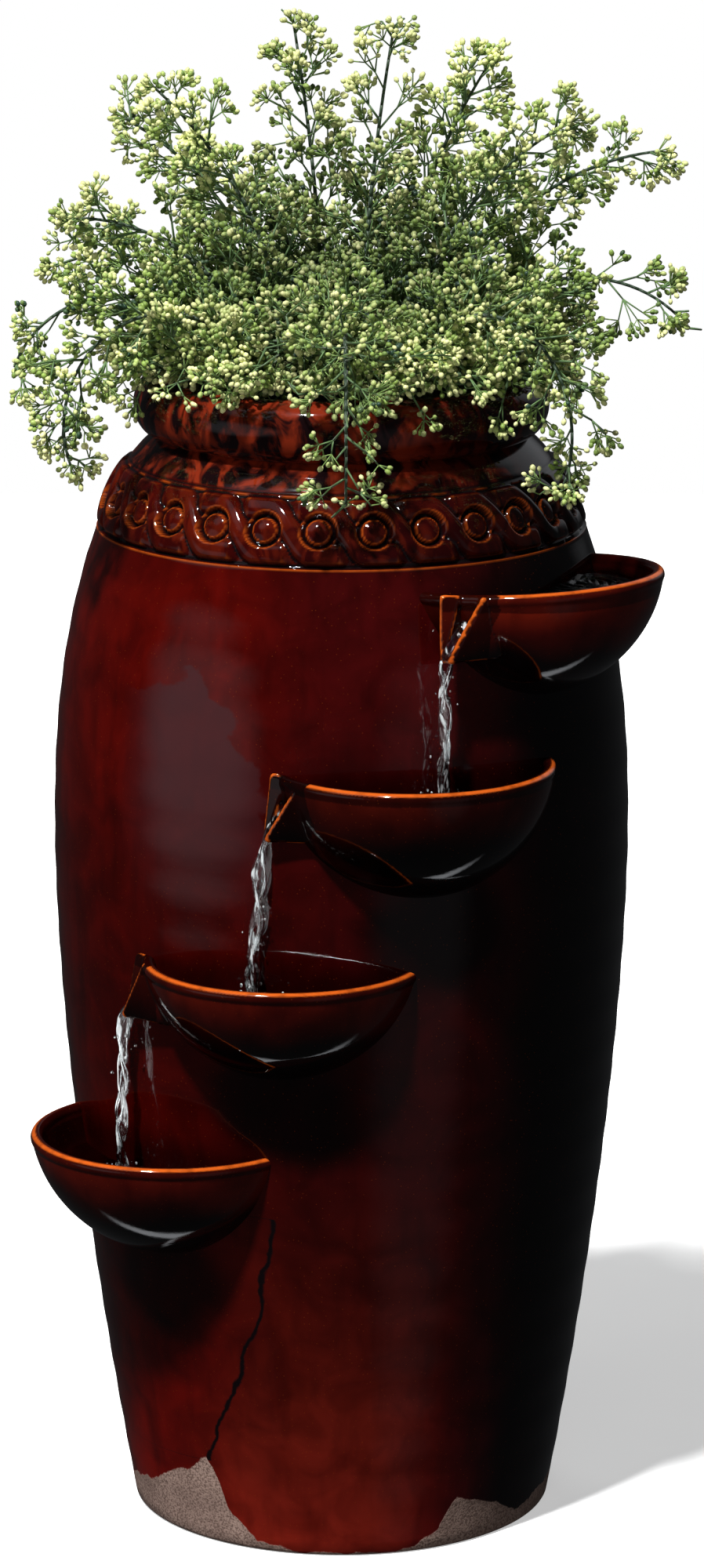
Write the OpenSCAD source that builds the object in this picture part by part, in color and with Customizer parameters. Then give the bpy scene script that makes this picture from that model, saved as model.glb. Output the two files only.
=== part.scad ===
// Glazed jar fountain: four half bowls step down round the jar, a pump inside it
// lifts the water to the top bowl, and a planted pan hangs in its mouth.
// Millimetres, +Z up, -Y is the front. The origin is the centre of the foot.

/* [Jar] */
// Radius of the foot
foot_r = 152; // [140:1:160]
// Radius of the belly, the widest part of the jar
belly_r = 207.7; // [200:0.1:215]
// Height of the belly
belly_z = 500; // [480:5:520]
// How fast the wall draws in below the belly
foot_curve = 1.62; // [1.5:0.01:1.8]
// Radius of the ridge under the frieze
ridge_r = 176; // [170:1:182]
// Height of the ridge under the frieze
ridge_z = 725; // [715:1:735]
// How fast the wall draws in above the belly
ridge_curve = 2.45; // [2:0.05:3]
// Thickness of the wall
wall = 10; // [8:0.5:12]
// Thickness of the floor
jar_floor = 12; // [8:1:16]

/* [Frieze and lip] */
// Number of bosses in the frieze
boss_count = 27; // [18:1:30]
// Azimuth of the first boss, from the front towards the right
boss_start = -5.5; // [-7:0.5:7]
// Radius of the top of the frieze
frieze_top_r = 152; // [148:1:155]
// Height of the top of the frieze
frieze_top_z = 774; // [770:1:778]
// Radius of the neck groove under the lip
neck_r = 134; // [130:1:138]
// Radius of the middle of the rolled lip
lip_r = 131; // [128:1:134]
// Height of the middle of the rolled lip
lip_z = 816; // [812:1:820]
// Half the width of the rolled lip
lip_half_w = 17.5; // [15:0.5:20]
// Half the height of the rolled lip
lip_half_h = 22; // [18:1:25]

/* [Bowls, from the top one down] */
// Azimuth of each bowl, from the front towards the right
bowl_azimuth = [49.4, 17, -14, -46]; // [-90:0.2:90]
// Height of each rim
bowl_rim_z = [713, 589, 448.5, 310]; // [200:0.5:740]
// Radius of each rim
bowl_r = [98, 102, 100, 102]; // [90:1:110]
// Distance from the jar's axis to the middle of each bowl
bowl_reach = [169, 165, 165, 167]; // [155:1:175]
// Depth of each bowl
bowl_depth = [86, 97, 86, 88]; // [70:1:100]
// How far each bowl's outer edge is tipped up, in degrees
bowl_tilt = [4, 0, 0, 0]; // [0:0.5:6]
// Thickness of the bowl wall
bowl_wall = 8; // [6:0.5:10]
// Depth of the water surface below each rim
water_drop = [11, 17, 17, 27]; // [5:1:40]

/* [Planting] */
// Radius of the planter pan below its flange
pan_r = 116; // [110:1:117]
// Height of the underside of the pan
pan_z = 735; // [725:1:760]
// Height of the ledge in the lip that carries the pan
ledge_z = 822; // [818:1:826]
// Height of the top of the foam block
foam_z = 812; // [790:1:816]
// Radius of a spray's main stem
stem_r = 2; // [1.5:0.1:2.5]

/* [Plumbing] */
// Azimuth of the outlet behind the top bowl
outlet_azimuth = 66; // [58:1:70]
// Height of the outlet
outlet_z = 694; // [690:1:697]
// Distance from the jar's axis to the pump's outlet
pump_reach = 85; // [75:1:95]
// Height of the return hole in the bottom bowl
return_z = 262; // [255:1:270]
// Bore of the power lead gland
lead_bore_r = 3.5; // [3:0.1:4]

/* [Hidden] */
$fn = 64;

// Jar outline
foot_edge = 2;
jar_steps = 24;
lip_steps = 15;
seat_r = 123;
mouth_r = 118;
lip_start = -80;
lip_end = 90 + asin((lip_r - seat_r) / lip_half_w);
boss_r = 9;
boss_sink = 4;

// Spout at the left end of the upper three bowls, in the bowl's own frame:
// X runs along the wall, -Y outward and Z up from the rim
lip_u = -108;
lip_v = 17;
lip_w = -42;

// Wall fittings
outlet_hole_r = 11;
outlet_pipe_r = 8;
outlet_bore_r = 5.5;
elbow_ball_r = 11;
barb_reach = 140;
barb_r = 6.3;
barb_bore_r = 4.5;
barb_len = 46;
return_hole_r = 11;
return_bore_r = 8.5;
gland_z = 262;
gland_hole_r = 9;
gland_flange_r = 14;
plug_z = 30;
plug_hole_r = 8;
plug_head_r = 13;
spot_face_depth = 4;
grommet_inset = 8.5;

// Hose
hose_r = 8.4;
hose_bore_r = 6.6;
hose_start_z = 66;
hose_bend_z = 520;
hose_bend_h = 120;
hose_bend_steps = 10;
hose_sides = 16;
hose_end_z = 674;

// Pump: its own frame has Y along the rotor, away from the intake, and its
// origin on the rotor's axis under the outlet
pump_w = 48;
pump_h = 42;
pump_corner = 5;
cup_h = 8;
pump_x = pump_reach * sin(outlet_azimuth);
pump_y = -pump_reach * cos(outlet_azimuth);
pump_axis_z = jar_floor + cup_h + pump_h / 2;
volute_half = 8;
housing_end = 50;
rotor_bore_r = 9.2;
magnet_r = 8.5;
magnet_start = 9.2;
magnet_end = 38;
chamber_r = 14.5;
chamber_front = 5;
impeller_r = 13;
shaft_r = 1.5;
rotor_clearance = 0.05;
screw_x = 19;
screw_z = 16;

// Planting
pan_wall = 2.5;
pan_floor_r = 100;
pan_flange_r = 122.4;
pan_flange_h = 3;
stem_depth = 25;
stem_bend_z = foam_z + 5;
spray_sides = 8;
spray_heads = [[0.5, 6], [0.66, 8], [0.83, 9], [0.97, 8]];
spray_tips = [[-37, 30, 1100], [40, -20, 1102], [-132, -40, 1046], [-157, 60, 1012],
    [-186, -60, 956], [-206, 50, 905], [-234, -20, 838], [-188, -112, 788],
    [103, 20, 1052], [163, -50, 1024], [228, 24, 992], [250, -40, 868],
    [3, -185, 770], [150, -150, 775], [20, 190, 930], [-110, 160, 960],
    [116, 164, 946]];
spray_roots = [[-12, 10], [14, -8], [-34, -14], [-40, 22], [-58, -24], [-66, 18],
    [-84, -6], [-60, -46], [34, 6], [44, -18], [66, 6], [84, -14],
    [2, -62], [50, -50], [6, 66], [-36, 56], [40, 54]];

// ---- Outlines and helpers ----

// Outer radius of the body at a height below the ridge
function body_r(z) = z < belly_z
    ? belly_r - (belly_r - foot_r) * pow((belly_z - z) / belly_z, foot_curve)
    : belly_r - (belly_r - ridge_r) * pow((z - belly_z) / (ridge_z - belly_z), ridge_curve);

function body_outline(inset, from_z) = [for (i = [0:jar_steps])
    let (z = from_z + (ridge_z - from_z) * i / jar_steps) [body_r(z) - inset, z]];

function lip_outline() = [for (i = [0:lip_steps])
    let (t = lip_start + (lip_end - lip_start) * i / lip_steps)
    [lip_r + lip_half_w * cos(t), lip_z + lip_half_h * sin(t)]];

function reversed(list) = [for (i = [len(list) - 1:-1:0]) list[i]];

// The jar's outer outline from the foot up to the end of the lip's curve
function outer_outline() = concat(
    [[0, 0], [foot_r - foot_edge, 0]],
    body_outline(0, foot_edge),
    [[ridge_r - 4, ridge_z + 3], [frieze_top_r + 12, ridge_z + 27],
        [frieze_top_r, frieze_top_z], [frieze_top_r - 2, frieze_top_z + 3]],
    lip_outline());

// The jar's inner outline from the ledge in the lip down to the floor
function inner_outline() = concat(
    [[seat_r, ledge_z], [mouth_r, ledge_z], [mouth_r, lip_z - lip_half_h],
        [frieze_top_r - wall - 1, frieze_top_z - 6]],
    reversed(body_outline(wall, jar_floor)),
    [[0, jar_floor]]);

// A point given in a bowl's own frame, in the jar's frame, without the bowl's tilt
function bowl_point(i, u, v, w) =
    let (a = bowl_azimuth[i])
    [bowl_reach[i] * sin(a) + u * cos(a) + v * sin(a),
        -bowl_reach[i] * cos(a) + u * sin(a) - v * cos(a), bowl_rim_z[i] + w];

module outside_of_jar() {
    rotate_extrude() polygon(concat(outer_outline(), [[0, lip_z]]));
}

// Puts a shape drawn along +Z on a ray from the jar's axis, starting at the axis
module on_ray(azimuth, z) {
    rotate([0, 0, azimuth])
        translate([0, 0, z])
            rotate([90, 0, 0])
                children();
}

module ring(outer, inner, h) {
    difference() {
        cylinder(r = outer, h = h);
        translate([0, 0, -1]) cylinder(r = inner, h = h + 2);
    }
}

// A rod along +Y, from y0 to y1
module rod_y(r, y0, y1) {
    translate([0, y0, 0]) rotate([-90, 0, 0]) cylinder(r = r, h = y1 - y0);
}

module bowl_frame(i) {
    rotate([0, 0, bowl_azimuth[i]])
        translate([0, -bowl_reach[i], bowl_rim_z[i]])
            rotate([-bowl_tilt[i], 0, 0])
                children();
}

// ---- Jar and bowls ----

module jar_body() {
    color([0.28, 0.05, 0.03])
    difference() {
        union() {
            rotate_extrude() polygon(concat(outer_outline(), inner_outline()));
            bosses();
        }
        on_ray(outlet_azimuth, outlet_z) cylinder(r = outlet_hole_r, h = 250);
        on_ray(bowl_azimuth[3], return_z) cylinder(r = return_hole_r, h = 250);
        wall_hole(gland_z, gland_hole_r, gland_flange_r + 0.5);
        wall_hole(plug_z, plug_hole_r, plug_head_r + 0.5);
    }
}

// The row of domed bosses along the middle of the frieze
module bosses() {
    for (i = [0:boss_count - 1])
        rotate([0, 0, boss_start + 360 * i / boss_count])
            translate([0, -(frieze_top_r + 12 - boss_sink), ridge_z + 26])
                sphere(r = boss_r);
}

// A hole through the back wall with a flat face sunk round it
module wall_hole(z, hole_r, face_r) {
    on_ray(180, z) cylinder(r = hole_r, h = 250);
    on_ray(180, z) translate([0, 0, body_r(z) - spot_face_depth]) cylinder(r = face_r, h = 30);
}

module bowl(i, has_spout) {
    outer = (pow(bowl_r[i], 2) + pow(bowl_depth[i], 2)) / (2 * bowl_depth[i]);
    mid = outer - bowl_depth[i];
    bead = bowl_wall / 2 + 0.6;
    color([0.25, 0.05, 0.03])
    difference() {
        bowl_frame(i) difference() {
            union() {
                rotate_extrude() intersection() {
                    translate([0, mid]) circle(r = outer);
                    translate([0, -bowl_depth[i] - 1]) square([outer + 1, bowl_depth[i] + 1 - bead]);
                }
                rotate_extrude() translate([bowl_r[i] - bead, -bead]) circle(r = bead);
                if (has_spout) spout_body();
            }
            bowl_hollow(i, 20);
            if (has_spout) spout_channel();
        }
        outside_of_jar();
    }
}

// The space inside a bowl, up to a height above its rim
module bowl_hollow(i, top) {
    outer = (pow(bowl_r[i], 2) + pow(bowl_depth[i], 2)) / (2 * bowl_depth[i]);
    mid = outer - bowl_depth[i];
    rotate_extrude() intersection() {
        translate([0, mid]) circle(r = outer - bowl_wall);
        translate([0, -bowl_depth[i]]) square([outer, bowl_depth[i] + top]);
    }
}

// The folded pouring lip: an ear on the wall, a front corner and a low tip
module spout_body() {
    hull() {
        translate([-95, -14, -5]) sphere(r = 4, $fn = 14);
        translate([-91, -36, -5]) sphere(r = 4, $fn = 14);
        translate([lip_u, -lip_v, lip_w]) sphere(r = 4, $fn = 14);
        translate([-84, -24, -46]) sphere(r = 5, $fn = 14);
    }
}

// The open channel of the pouring lip, from the water down to the tip
module spout_channel() {
    hull() {
        translate([-80, -17, 14]) sphere(r = 3, $fn = 14);
        translate([-112, -17, 14]) sphere(r = 3, $fn = 14);
        translate([-80, -31, 14]) sphere(r = 3, $fn = 14);
        translate([-112, -31, 14]) sphere(r = 3, $fn = 14);
        translate([-80, -24, -15]) sphere(r = 3, $fn = 14);
        translate([lip_u - 8, -lip_v, lip_w]) sphere(r = 3, $fn = 14);
    }
}

module top_bowl() { bowl(0, true); }
module second_bowl() { bowl(1, true); }
module third_bowl() { bowl(2, true); }
module bottom_bowl() { bowl(3, false); }

// ---- Water ----

// The water standing in a bowl, clear of the fittings in the wall behind it
module bowl_water(i) {
    color([0.75, 0.85, 0.9, 0.5])
    difference() {
        bowl_frame(i) bowl_hollow(i, 0);
        translate([-300, -300, bowl_rim_z[i] - water_drop[i]]) cube([600, 600, 100]);
        outside_of_jar();
        on_ray(outlet_azimuth, outlet_z) cylinder(r = outlet_hole_r + 1, h = body_r(outlet_z) + 8);
    }
}

// The water falling from one bowl's lip to the next bowl's surface
module stream(i, drift) {
    from = bowl_point(i, lip_u - 4, lip_v, lip_w - 6);
    surface = bowl_rim_z[i + 1] - water_drop[i + 1];
    color([0.8, 0.88, 0.92, 0.5])
    hull() {
        translate([from[0], from[1], from[2] - 1]) cylinder(r = 5, h = 1, $fn = 24);
        translate([from[0] + drift, from[1], surface]) cylinder(r = 6, h = 1, $fn = 24);
    }
}

module top_water() { bowl_water(0); }
module second_water() { bowl_water(1); }
module third_water() { bowl_water(2); }
module bottom_water() { bowl_water(3); }
module top_stream() { stream(0, 0); }
module second_stream() { stream(1, -8); }
module third_stream() { stream(2, -2); }

// ---- Fittings in the wall ----

module outlet_grommet() {
    color([0.08, 0.08, 0.08])
    on_ray(outlet_azimuth, outlet_z)
        translate([0, 0, body_r(outlet_z) - wall - grommet_inset])
            union() {
                ring(outlet_hole_r - 0.05, outlet_pipe_r + 0.05, wall + grommet_inset + 1);
                ring(outlet_hole_r + 4, outlet_pipe_r + 0.05, 2.4);
            }
}

// The outlet pipe: through the wall, a ball corner inside, and a barb down to the hose
module outlet_elbow() {
    tip = body_r(outlet_z) + 3;
    color([0.12, 0.12, 0.12])
    rotate([0, 0, outlet_azimuth - 90])
        translate([barb_reach, 0, outlet_z])
            difference() {
                union() {
                    sphere(r = elbow_ball_r);
                    rotate([0, 90, 0]) cylinder(r = outlet_pipe_r, h = tip - barb_reach);
                    translate([0, 0, -barb_len]) cylinder(r = barb_r, h = barb_len);
                }
                sphere(r = outlet_bore_r + 1);
                rotate([0, 90, 0]) cylinder(r = outlet_bore_r, h = tip);
                translate([0, 0, -barb_len - 1]) cylinder(r = barb_bore_r, h = barb_len);
            }
}

// Distance of the hose's middle from the jar's axis at a height
function hose_reach(z) =
    let (t = min(1, max(0, (z - hose_bend_z) / hose_bend_h)))
    pump_reach + (barb_reach - pump_reach) * t * t * (3 - 2 * t);

function hose_lean(z) = atan((hose_reach(z + 1) - hose_reach(z - 1)) / 2);

// One ring of points round the hose's middle, square to its run
function hose_ring(r, z) = [for (k = [0:hose_sides - 1])
    let (t = 360 * k / hose_sides)
    [hose_reach(z) + r * cos(t) * cos(hose_lean(z)), r * sin(t), z - r * cos(t) * sin(hose_lean(z))]];

// The supply hose: upright from the pump, one double bend, upright into the elbow
module supply_hose() {
    rings = concat([hose_start_z],
        [for (i = [0:hose_bend_steps]) hose_bend_z + hose_bend_h * i / hose_bend_steps],
        [hose_end_z - 6]);
    n = hose_sides;
    last = len(rings) - 1;
    inner = n * len(rings);
    points = concat(
        [for (z = rings) each hose_ring(hose_r, z)],
        [for (z = rings) each hose_ring(hose_bore_r, z)]);
    walls = [for (j = [0:last - 1]) for (k = [0:n - 1])
        let (a = j * n + k, b = j * n + (k + 1) % n)
        each [[a, a + n, b + n, b], [inner + a, inner + b, inner + b + n, inner + a + n]]];
    ends = [for (k = [0:n - 1])
        let (m = (k + 1) % n)
        each [[k, m, inner + m, inner + k],
            [last * n + m, last * n + k, inner + last * n + k, inner + last * n + m]]];
    color([0.2, 0.22, 0.22])
    rotate([0, 0, outlet_azimuth - 90])
        polyhedron(points, concat(walls, ends));
}

// A clip round each end of the hose, with its tightening ear
module hose_clips() {
    color([0.75, 0.76, 0.78])
    rotate([0, 0, outlet_azimuth - 90]) {
        hose_clip(pump_reach, hose_start_z + 6);
        hose_clip(barb_reach, hose_end_z - 18);
    }
}

module hose_clip(reach, z) {
    translate([reach, 0, z])
        difference() {
            union() {
                cylinder(r = hose_r + 1.2, h = 8);
                translate([-hose_r - 7, -3, 0]) cube([8, 6, 8]);
            }
            translate([0, 0, -1]) cylinder(r = hose_r + 0.05, h = 10);
        }
}

module return_grommet() {
    start = body_r(return_z) - wall - 5;
    color([0.08, 0.08, 0.08])
    on_ray(bowl_azimuth[3], return_z) {
        translate([0, 0, start]) ring(return_hole_r - 0.05, return_bore_r, wall + 2);
        translate([0, 0, start]) ring(return_hole_r + 4, return_bore_r, 2.4);
    }
}

// A round grating in the return hole, held by its rim
module return_strainer() {
    color([0.15, 0.15, 0.16])
    on_ray(bowl_azimuth[3], return_z)
        translate([0, 0, body_r(return_z) - wall])
            difference() {
                cylinder(r = return_bore_r - 0.05, h = 5);
                translate([0, 0, -1]) cylinder(r = 1.4, h = 7);
                for (a = [0:60:300])
                    rotate([0, 0, a]) translate([4.8, 0, -1]) cylinder(r = 1.4, h = 7);
            }
}

module lead_gland() {
    face = body_r(gland_z) - spot_face_depth;
    color([0.07, 0.07, 0.07])
    on_ray(180, gland_z)
        difference() {
            union() {
                translate([0, 0, face - wall - 2]) cylinder(r = gland_hole_r - 0.05, h = wall + 3);
                translate([0, 0, face]) cylinder(r = gland_flange_r, h = 3.5);
            }
            translate([0, 0, face - wall - 3]) cylinder(r = lead_bore_r, h = wall + 10);
        }
}

module drain_plug() {
    face = body_r(plug_z) - spot_face_depth;
    color([0.07, 0.07, 0.07])
    on_ray(180, plug_z)
        difference() {
            union() {
                translate([0, 0, face - wall - 1]) cylinder(r = plug_hole_r - 0.05, h = wall + 2);
                translate([0, 0, face + 0.1]) cylinder(r = plug_head_r, h = 5);
                translate([-7, -2, face + 5]) cube([14, 4, 7]);
            }
            translate([0, 5, face + 8.6]) rotate([90, 0, 0]) cylinder(r = 1.6, h = 10);
        }
}

// ---- Pump ----

module pump_frame() {
    translate([pump_x, pump_y, pump_axis_z]) children();
}

// A block along +Y with its four long edges cut off
module pump_block(w, h, y0, y1, cut) {
    translate([0, y1, 0])
        rotate([90, 0, 0])
            linear_extrude(y1 - y0)
                polygon([[-w / 2 + cut, -h / 2], [w / 2 - cut, -h / 2], [w / 2, -h / 2 + cut],
                    [w / 2, h / 2 - cut], [w / 2 - cut, h / 2], [-w / 2 + cut, h / 2],
                    [-w / 2, h / 2 - cut], [-w / 2, -h / 2 + cut]]);
}

module at_screws() {
    for (x = [-screw_x, screw_x])
        for (z = [-screw_z, screw_z])
            translate([x, 0, z]) children();
}

module pump_housing() {
    color([0.06, 0.06, 0.07])
    pump_frame()
        difference() {
            pump_block(pump_w, pump_h, volute_half, housing_end, pump_corner);
            rod_y(rotor_bore_r, volute_half - 1, 40);
            rod_y(3, 39, 44.5);
            translate([12, 0, 12]) rod_y(5, 42, housing_end + 1);
            at_screws() rod_y(1.45, volute_half - 1, 22);
        }
}

module volute_cover() {
    color([0.1, 0.1, 0.11])
    pump_frame()
        difference() {
            union() {
                pump_block(pump_w, pump_h, -volute_half, volute_half, pump_corner);
                translate([0, 0, pump_h / 2 - 1]) cylinder(r = barb_r, h = 22);
            }
            rod_y(chamber_r, -chamber_front, volute_half + 1);
            translate([0, 0, 8]) cylinder(r = barb_bore_r, h = 40);
            for (a = [30:60:330])
                rotate([0, a, 0]) translate([6.2, 0, 0]) rod_y(1.8, -volute_half - 1, 0);
            rod_y(2.5, -volute_half + 1, 0);
            at_screws() rod_y(1.6, -volute_half - 1, volute_half + 1);
            at_screws() rod_y(3, -volute_half - 1, -volute_half + 2.5);
        }
}

// Four screws that hold the volute cover on the housing
module pump_screws() {
    color([0.75, 0.75, 0.77])
    pump_frame()
        at_screws() {
            rod_y(1.4, -volute_half + 2, 21);
            rod_y(2.8, -volute_half + 0.3, -volute_half + 2.4);
        }
}

module rotor_magnet() {
    color([0.2, 0.2, 0.22])
    pump_frame()
        difference() {
            rod_y(magnet_r, magnet_start, magnet_end);
            rod_y(shaft_r + rotor_clearance, magnet_start - 1, magnet_end + 1);
        }
}

module impeller() {
    color([0.85, 0.86, 0.86])
    pump_frame()
        difference() {
            union() {
                rod_y(4, -1.5, magnet_start);
                rod_y(impeller_r, 6, 7.2);
                for (a = [0:60:300])
                    rotate([0, a, 0]) translate([3, -1.5, -0.7]) cube([impeller_r - 3.4, 8, 1.4]);
            }
            rod_y(shaft_r + rotor_clearance, -3, magnet_start + 1);
        }
}

module rotor_shaft() {
    color([0.9, 0.9, 0.88])
    pump_frame() rod_y(shaft_r, -volute_half + 2, 43.5);
}

// The rubber bushes that carry the shaft, one in the cover and one in the housing
module shaft_bushes() {
    color([0.1, 0.1, 0.1])
    pump_frame() {
        difference() {
            rod_y(2.95, 40.2, 44.4);
            rod_y(shaft_r + 0.02, 40, 43.6);
        }
        difference() {
            rod_y(2.45, -volute_half + 1.1, -4.2);
            rod_y(shaft_r + 0.02, -volute_half + 1.9, -3);
        }
    }
}

module pump_gland() {
    color([0.07, 0.07, 0.07])
    pump_frame()
        translate([12, 0, 12])
            difference() {
                union() {
                    rod_y(4.95, 42, housing_end);
                    rod_y(6.5, housing_end, housing_end + 2.5);
                }
                rod_y(lead_bore_r, 44, housing_end + 4);
            }
}

// Four suction cups under the pump, which stand on the jar's floor
module suction_cups() {
    color([0.1, 0.1, 0.1])
    translate([pump_x, pump_y, jar_floor])
        for (x = [-16, 16])
            for (y = [17, 41])
                translate([x, y, 0])
                    rotate_extrude()
                        polygon([[0, 2.5], [4, 2], [8.5, 0], [9, 0.6], [4.5, 4], [3, cup_h], [0, cup_h]]);
}

module filter_sponge() {
    color([0.15, 0.15, 0.16])
    pump_frame() pump_block(pump_w - 5, pump_h - 5, -23.5, -9, 3);
}

module intake_cover() {
    color([0.06, 0.06, 0.07])
    pump_frame()
        difference() {
            pump_block(pump_w, pump_h, -27, -8.3, pump_corner);
            pump_block(pump_w - 4, pump_h - 4, -24.5, -7, pump_corner - 1.5);
            for (z = [-14:4:14])
                for (x = [-20, 11])
                    translate([x, -28, z - 0.9]) cube([9, 5, 1.8]);
            rod_y(2.55, -28, -24);
        }
}

// The dial on the intake cover that sets the flow
module flow_dial() {
    color([0.2, 0.2, 0.21])
    pump_frame()
        union() {
            rod_y(9, -30.3, -27.3);
            rod_y(2.5, -27.4, -23.8);
            translate([-8, -33.3, -1.2]) cube([16, 3.2, 2.4]);
        }
}

// ---- Planting ----

module planter_pan() {
    color([0.1, 0.1, 0.1])
    rotate_extrude()
        polygon([[0, pan_z], [pan_floor_r, pan_z], [pan_r, ledge_z - 4], [pan_r, ledge_z],
            [pan_flange_r, ledge_z], [pan_flange_r, ledge_z + pan_flange_h],
            [pan_r - pan_wall, ledge_z + pan_flange_h], [pan_r - pan_wall, ledge_z - 4],
            [pan_floor_r - pan_wall, pan_z + pan_wall], [0, pan_z + pan_wall]]);
}

module foam_block() {
    inside_r = pan_floor_r - pan_wall - 0.3;
    slope = (pan_r - pan_floor_r) / (ledge_z - 4 - pan_z);
    color([0.2, 0.25, 0.15])
    difference() {
        translate([0, 0, pan_z + pan_wall])
            cylinder(r1 = inside_r, r2 = inside_r + slope * (foam_z - pan_z - pan_wall),
                h = foam_z - pan_z - pan_wall);
        for (root = spray_roots)
            translate([root[0], root[1], foam_z - stem_depth - 1])
                cylinder(r = stem_r + 0.05, h = stem_depth + 5, $fn = 24);
    }
}

// Points of one ring round a spray, a share s of the way along its arc
function spray_ring(arc_r, turn, s, r) =
    [for (k = [0:spray_sides - 1])
        let (t = 360 * k / spray_sides, a = turn * s)
        [arc_r * (1 - cos(a)) + r * cos(t) * cos(a), r * sin(t), arc_r * sin(a) - r * cos(t) * sin(a)]];

// A spray: a stem that stands in the foam and bends over to its tip, with rounded
// heads of berries along the outer part of it
module spray(i) {
    tip = spray_tips[i];
    root = spray_roots[i];
    dx = tip[0] - root[0];
    dy = tip[1] - root[1];
    across = sqrt(dx * dx + dy * dy);
    turn = 2 * atan2(across, tip[2] - stem_bend_z);
    arc_r = (tip[2] - stem_bend_z) / sin(turn);
    length = arc_r * turn * PI / 180;
    n = spray_sides;
    foot = [for (p = spray_ring(arc_r, turn, 0, stem_r)) [p[0], p[1], foam_z - stem_depth - stem_bend_z]];
    rings = concat(
        [for (s = [0:0.1:0.4]) [s, stem_r]],
        [for (head = spray_heads) each
            [for (step = [[-1, 0.3], [-0.75, 0.66], [0, 1], [0.75, 0.66], [1, 0.3]])
                [head[0] + step[0] * head[1] / length, max(step[1] * head[1], stem_r)]]]);
    points = concat(foot, [for (ring = rings) each spray_ring(arc_r, turn, ring[0], ring[1])]);
    last = len(rings);
    color([0.45, 0.6, 0.3])
    translate([root[0], root[1], stem_bend_z])
        rotate([0, 0, atan2(dy, dx)])
            polyhedron(points, concat(
                [[for (k = [0:n - 1]) k]],
                [for (j = [0:last - 1]) for (k = [0:n - 1])
                    [j * n + k, (j + 1) * n + k, (j + 1) * n + (k + 1) % n, j * n + (k + 1) % n]],
                [[for (k = [n - 1:-1:0]) last * n + k]]));
}

jar_body();
top_bowl();
second_bowl();
third_bowl();
bottom_bowl();
outlet_grommet();
outlet_elbow();
supply_hose();
hose_clips();
return_grommet();
return_strainer();
lead_gland();
drain_plug();
pump_housing();
volute_cover();
pump_screws();
rotor_magnet();
impeller();
rotor_shaft();
shaft_bushes();
pump_gland();
suction_cups();
filter_sponge();
intake_cover();
flow_dial();
top_water();
second_water();
third_water();
bottom_water();
top_stream();
second_stream();
third_stream();
planter_pan();
foam_block();
spray(0);  // spray_01
spray(1);  // spray_02
spray(2);  // spray_03
spray(3);  // spray_04
spray(4);  // spray_05
spray(5);  // spray_06
spray(6);  // spray_07
spray(7);  // spray_08
spray(8);  // spray_09
spray(9);  // spray_10
spray(10);  // spray_11
spray(11);  // spray_12
spray(12);  // spray_13
spray(13);  // spray_14
spray(14);  // spray_15
spray(15);  // spray_16
spray(16);  // spray_17
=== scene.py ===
import math

import bmesh
import bpy
import numpy as np
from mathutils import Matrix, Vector


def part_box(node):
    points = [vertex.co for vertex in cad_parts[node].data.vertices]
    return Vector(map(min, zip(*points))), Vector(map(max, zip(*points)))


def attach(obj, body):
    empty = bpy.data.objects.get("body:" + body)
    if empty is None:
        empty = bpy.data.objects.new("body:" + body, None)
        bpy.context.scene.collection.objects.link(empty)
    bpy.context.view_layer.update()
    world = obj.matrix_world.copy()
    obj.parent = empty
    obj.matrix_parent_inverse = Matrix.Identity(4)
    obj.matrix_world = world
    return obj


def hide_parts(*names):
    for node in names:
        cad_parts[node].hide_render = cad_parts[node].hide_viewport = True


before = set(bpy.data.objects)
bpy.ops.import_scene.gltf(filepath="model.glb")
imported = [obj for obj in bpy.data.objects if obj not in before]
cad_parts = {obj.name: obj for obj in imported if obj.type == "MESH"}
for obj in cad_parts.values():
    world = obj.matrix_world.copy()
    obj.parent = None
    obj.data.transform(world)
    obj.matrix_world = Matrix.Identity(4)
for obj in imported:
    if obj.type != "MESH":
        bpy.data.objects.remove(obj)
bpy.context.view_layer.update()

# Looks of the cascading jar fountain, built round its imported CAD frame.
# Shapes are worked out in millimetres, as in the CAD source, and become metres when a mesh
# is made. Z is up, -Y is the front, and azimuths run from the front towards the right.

MM = 0.001
SEED = 817

# Jar outline
FOOT_R = 152
BELLY_R = 207.7
BELLY_Z = 500
FOOT_CURVE = 1.62
RIDGE_R = 176
RIDGE_Z = 725
RIDGE_CURVE = 2.45
WALL = 10
JAR_FLOOR = 12
FRIEZE_MID = (164, 752)
FRIEZE_TOP = (152, 774)
LIP_R, LIP_Z = 131, 816
LIP_HALF_W, LIP_HALF_H = 17.5, 22
SEAT_R, LEDGE_Z, MOUTH_R = 123, 822, 118
COLUMNS = 216
FINE_COLUMNS = 864
FINE_STEP = 1.15

# Frieze
BOSS_COUNT = 27
BOSS_START = -5.5
PITCH = 2 * math.pi * FRIEZE_MID[0] / BOSS_COUNT

# Bowls, from the top one down
BOWL_NODES = ("top_bowl", "second_bowl", "third_bowl", "bottom_bowl")
BOWL_AZIMUTH = (49.4, 17, -14, -46)
BOWL_RIM_Z = (713, 589, 448.5, 310)
BOWL_R = (98, 102, 100, 102)
BOWL_REACH = (169, 165, 165, 167)
BOWL_DEPTH = (86, 97, 86, 88)
BOWL_TILT = (4, 0, 0, 0)
WATER_DROP = (11, 17, 17, 27)
BOWL_WALL = 8
BOWL_BEAD = 4.6
BOWL_SINK = 4
# Painted light: how bright each bowl's glaze is painted, so each bowl is a lit or shaded copy of the
# same glaze
BOWL_PAINTED_LIGHT = (1.35, 0.45, 0.95, 1.0)

# Wall fittings: azimuth, height, hole radius, radius of the spot face or 0
WALL_HOLES = ((66, 694, 11, 0), (-46, 262, 11, 0), (180, 262, 9, 14.5), (180, 30, 8, 13.5))
SPOT_FACE_DEPTH = 4
CUTTER_END = 240.0

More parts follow.
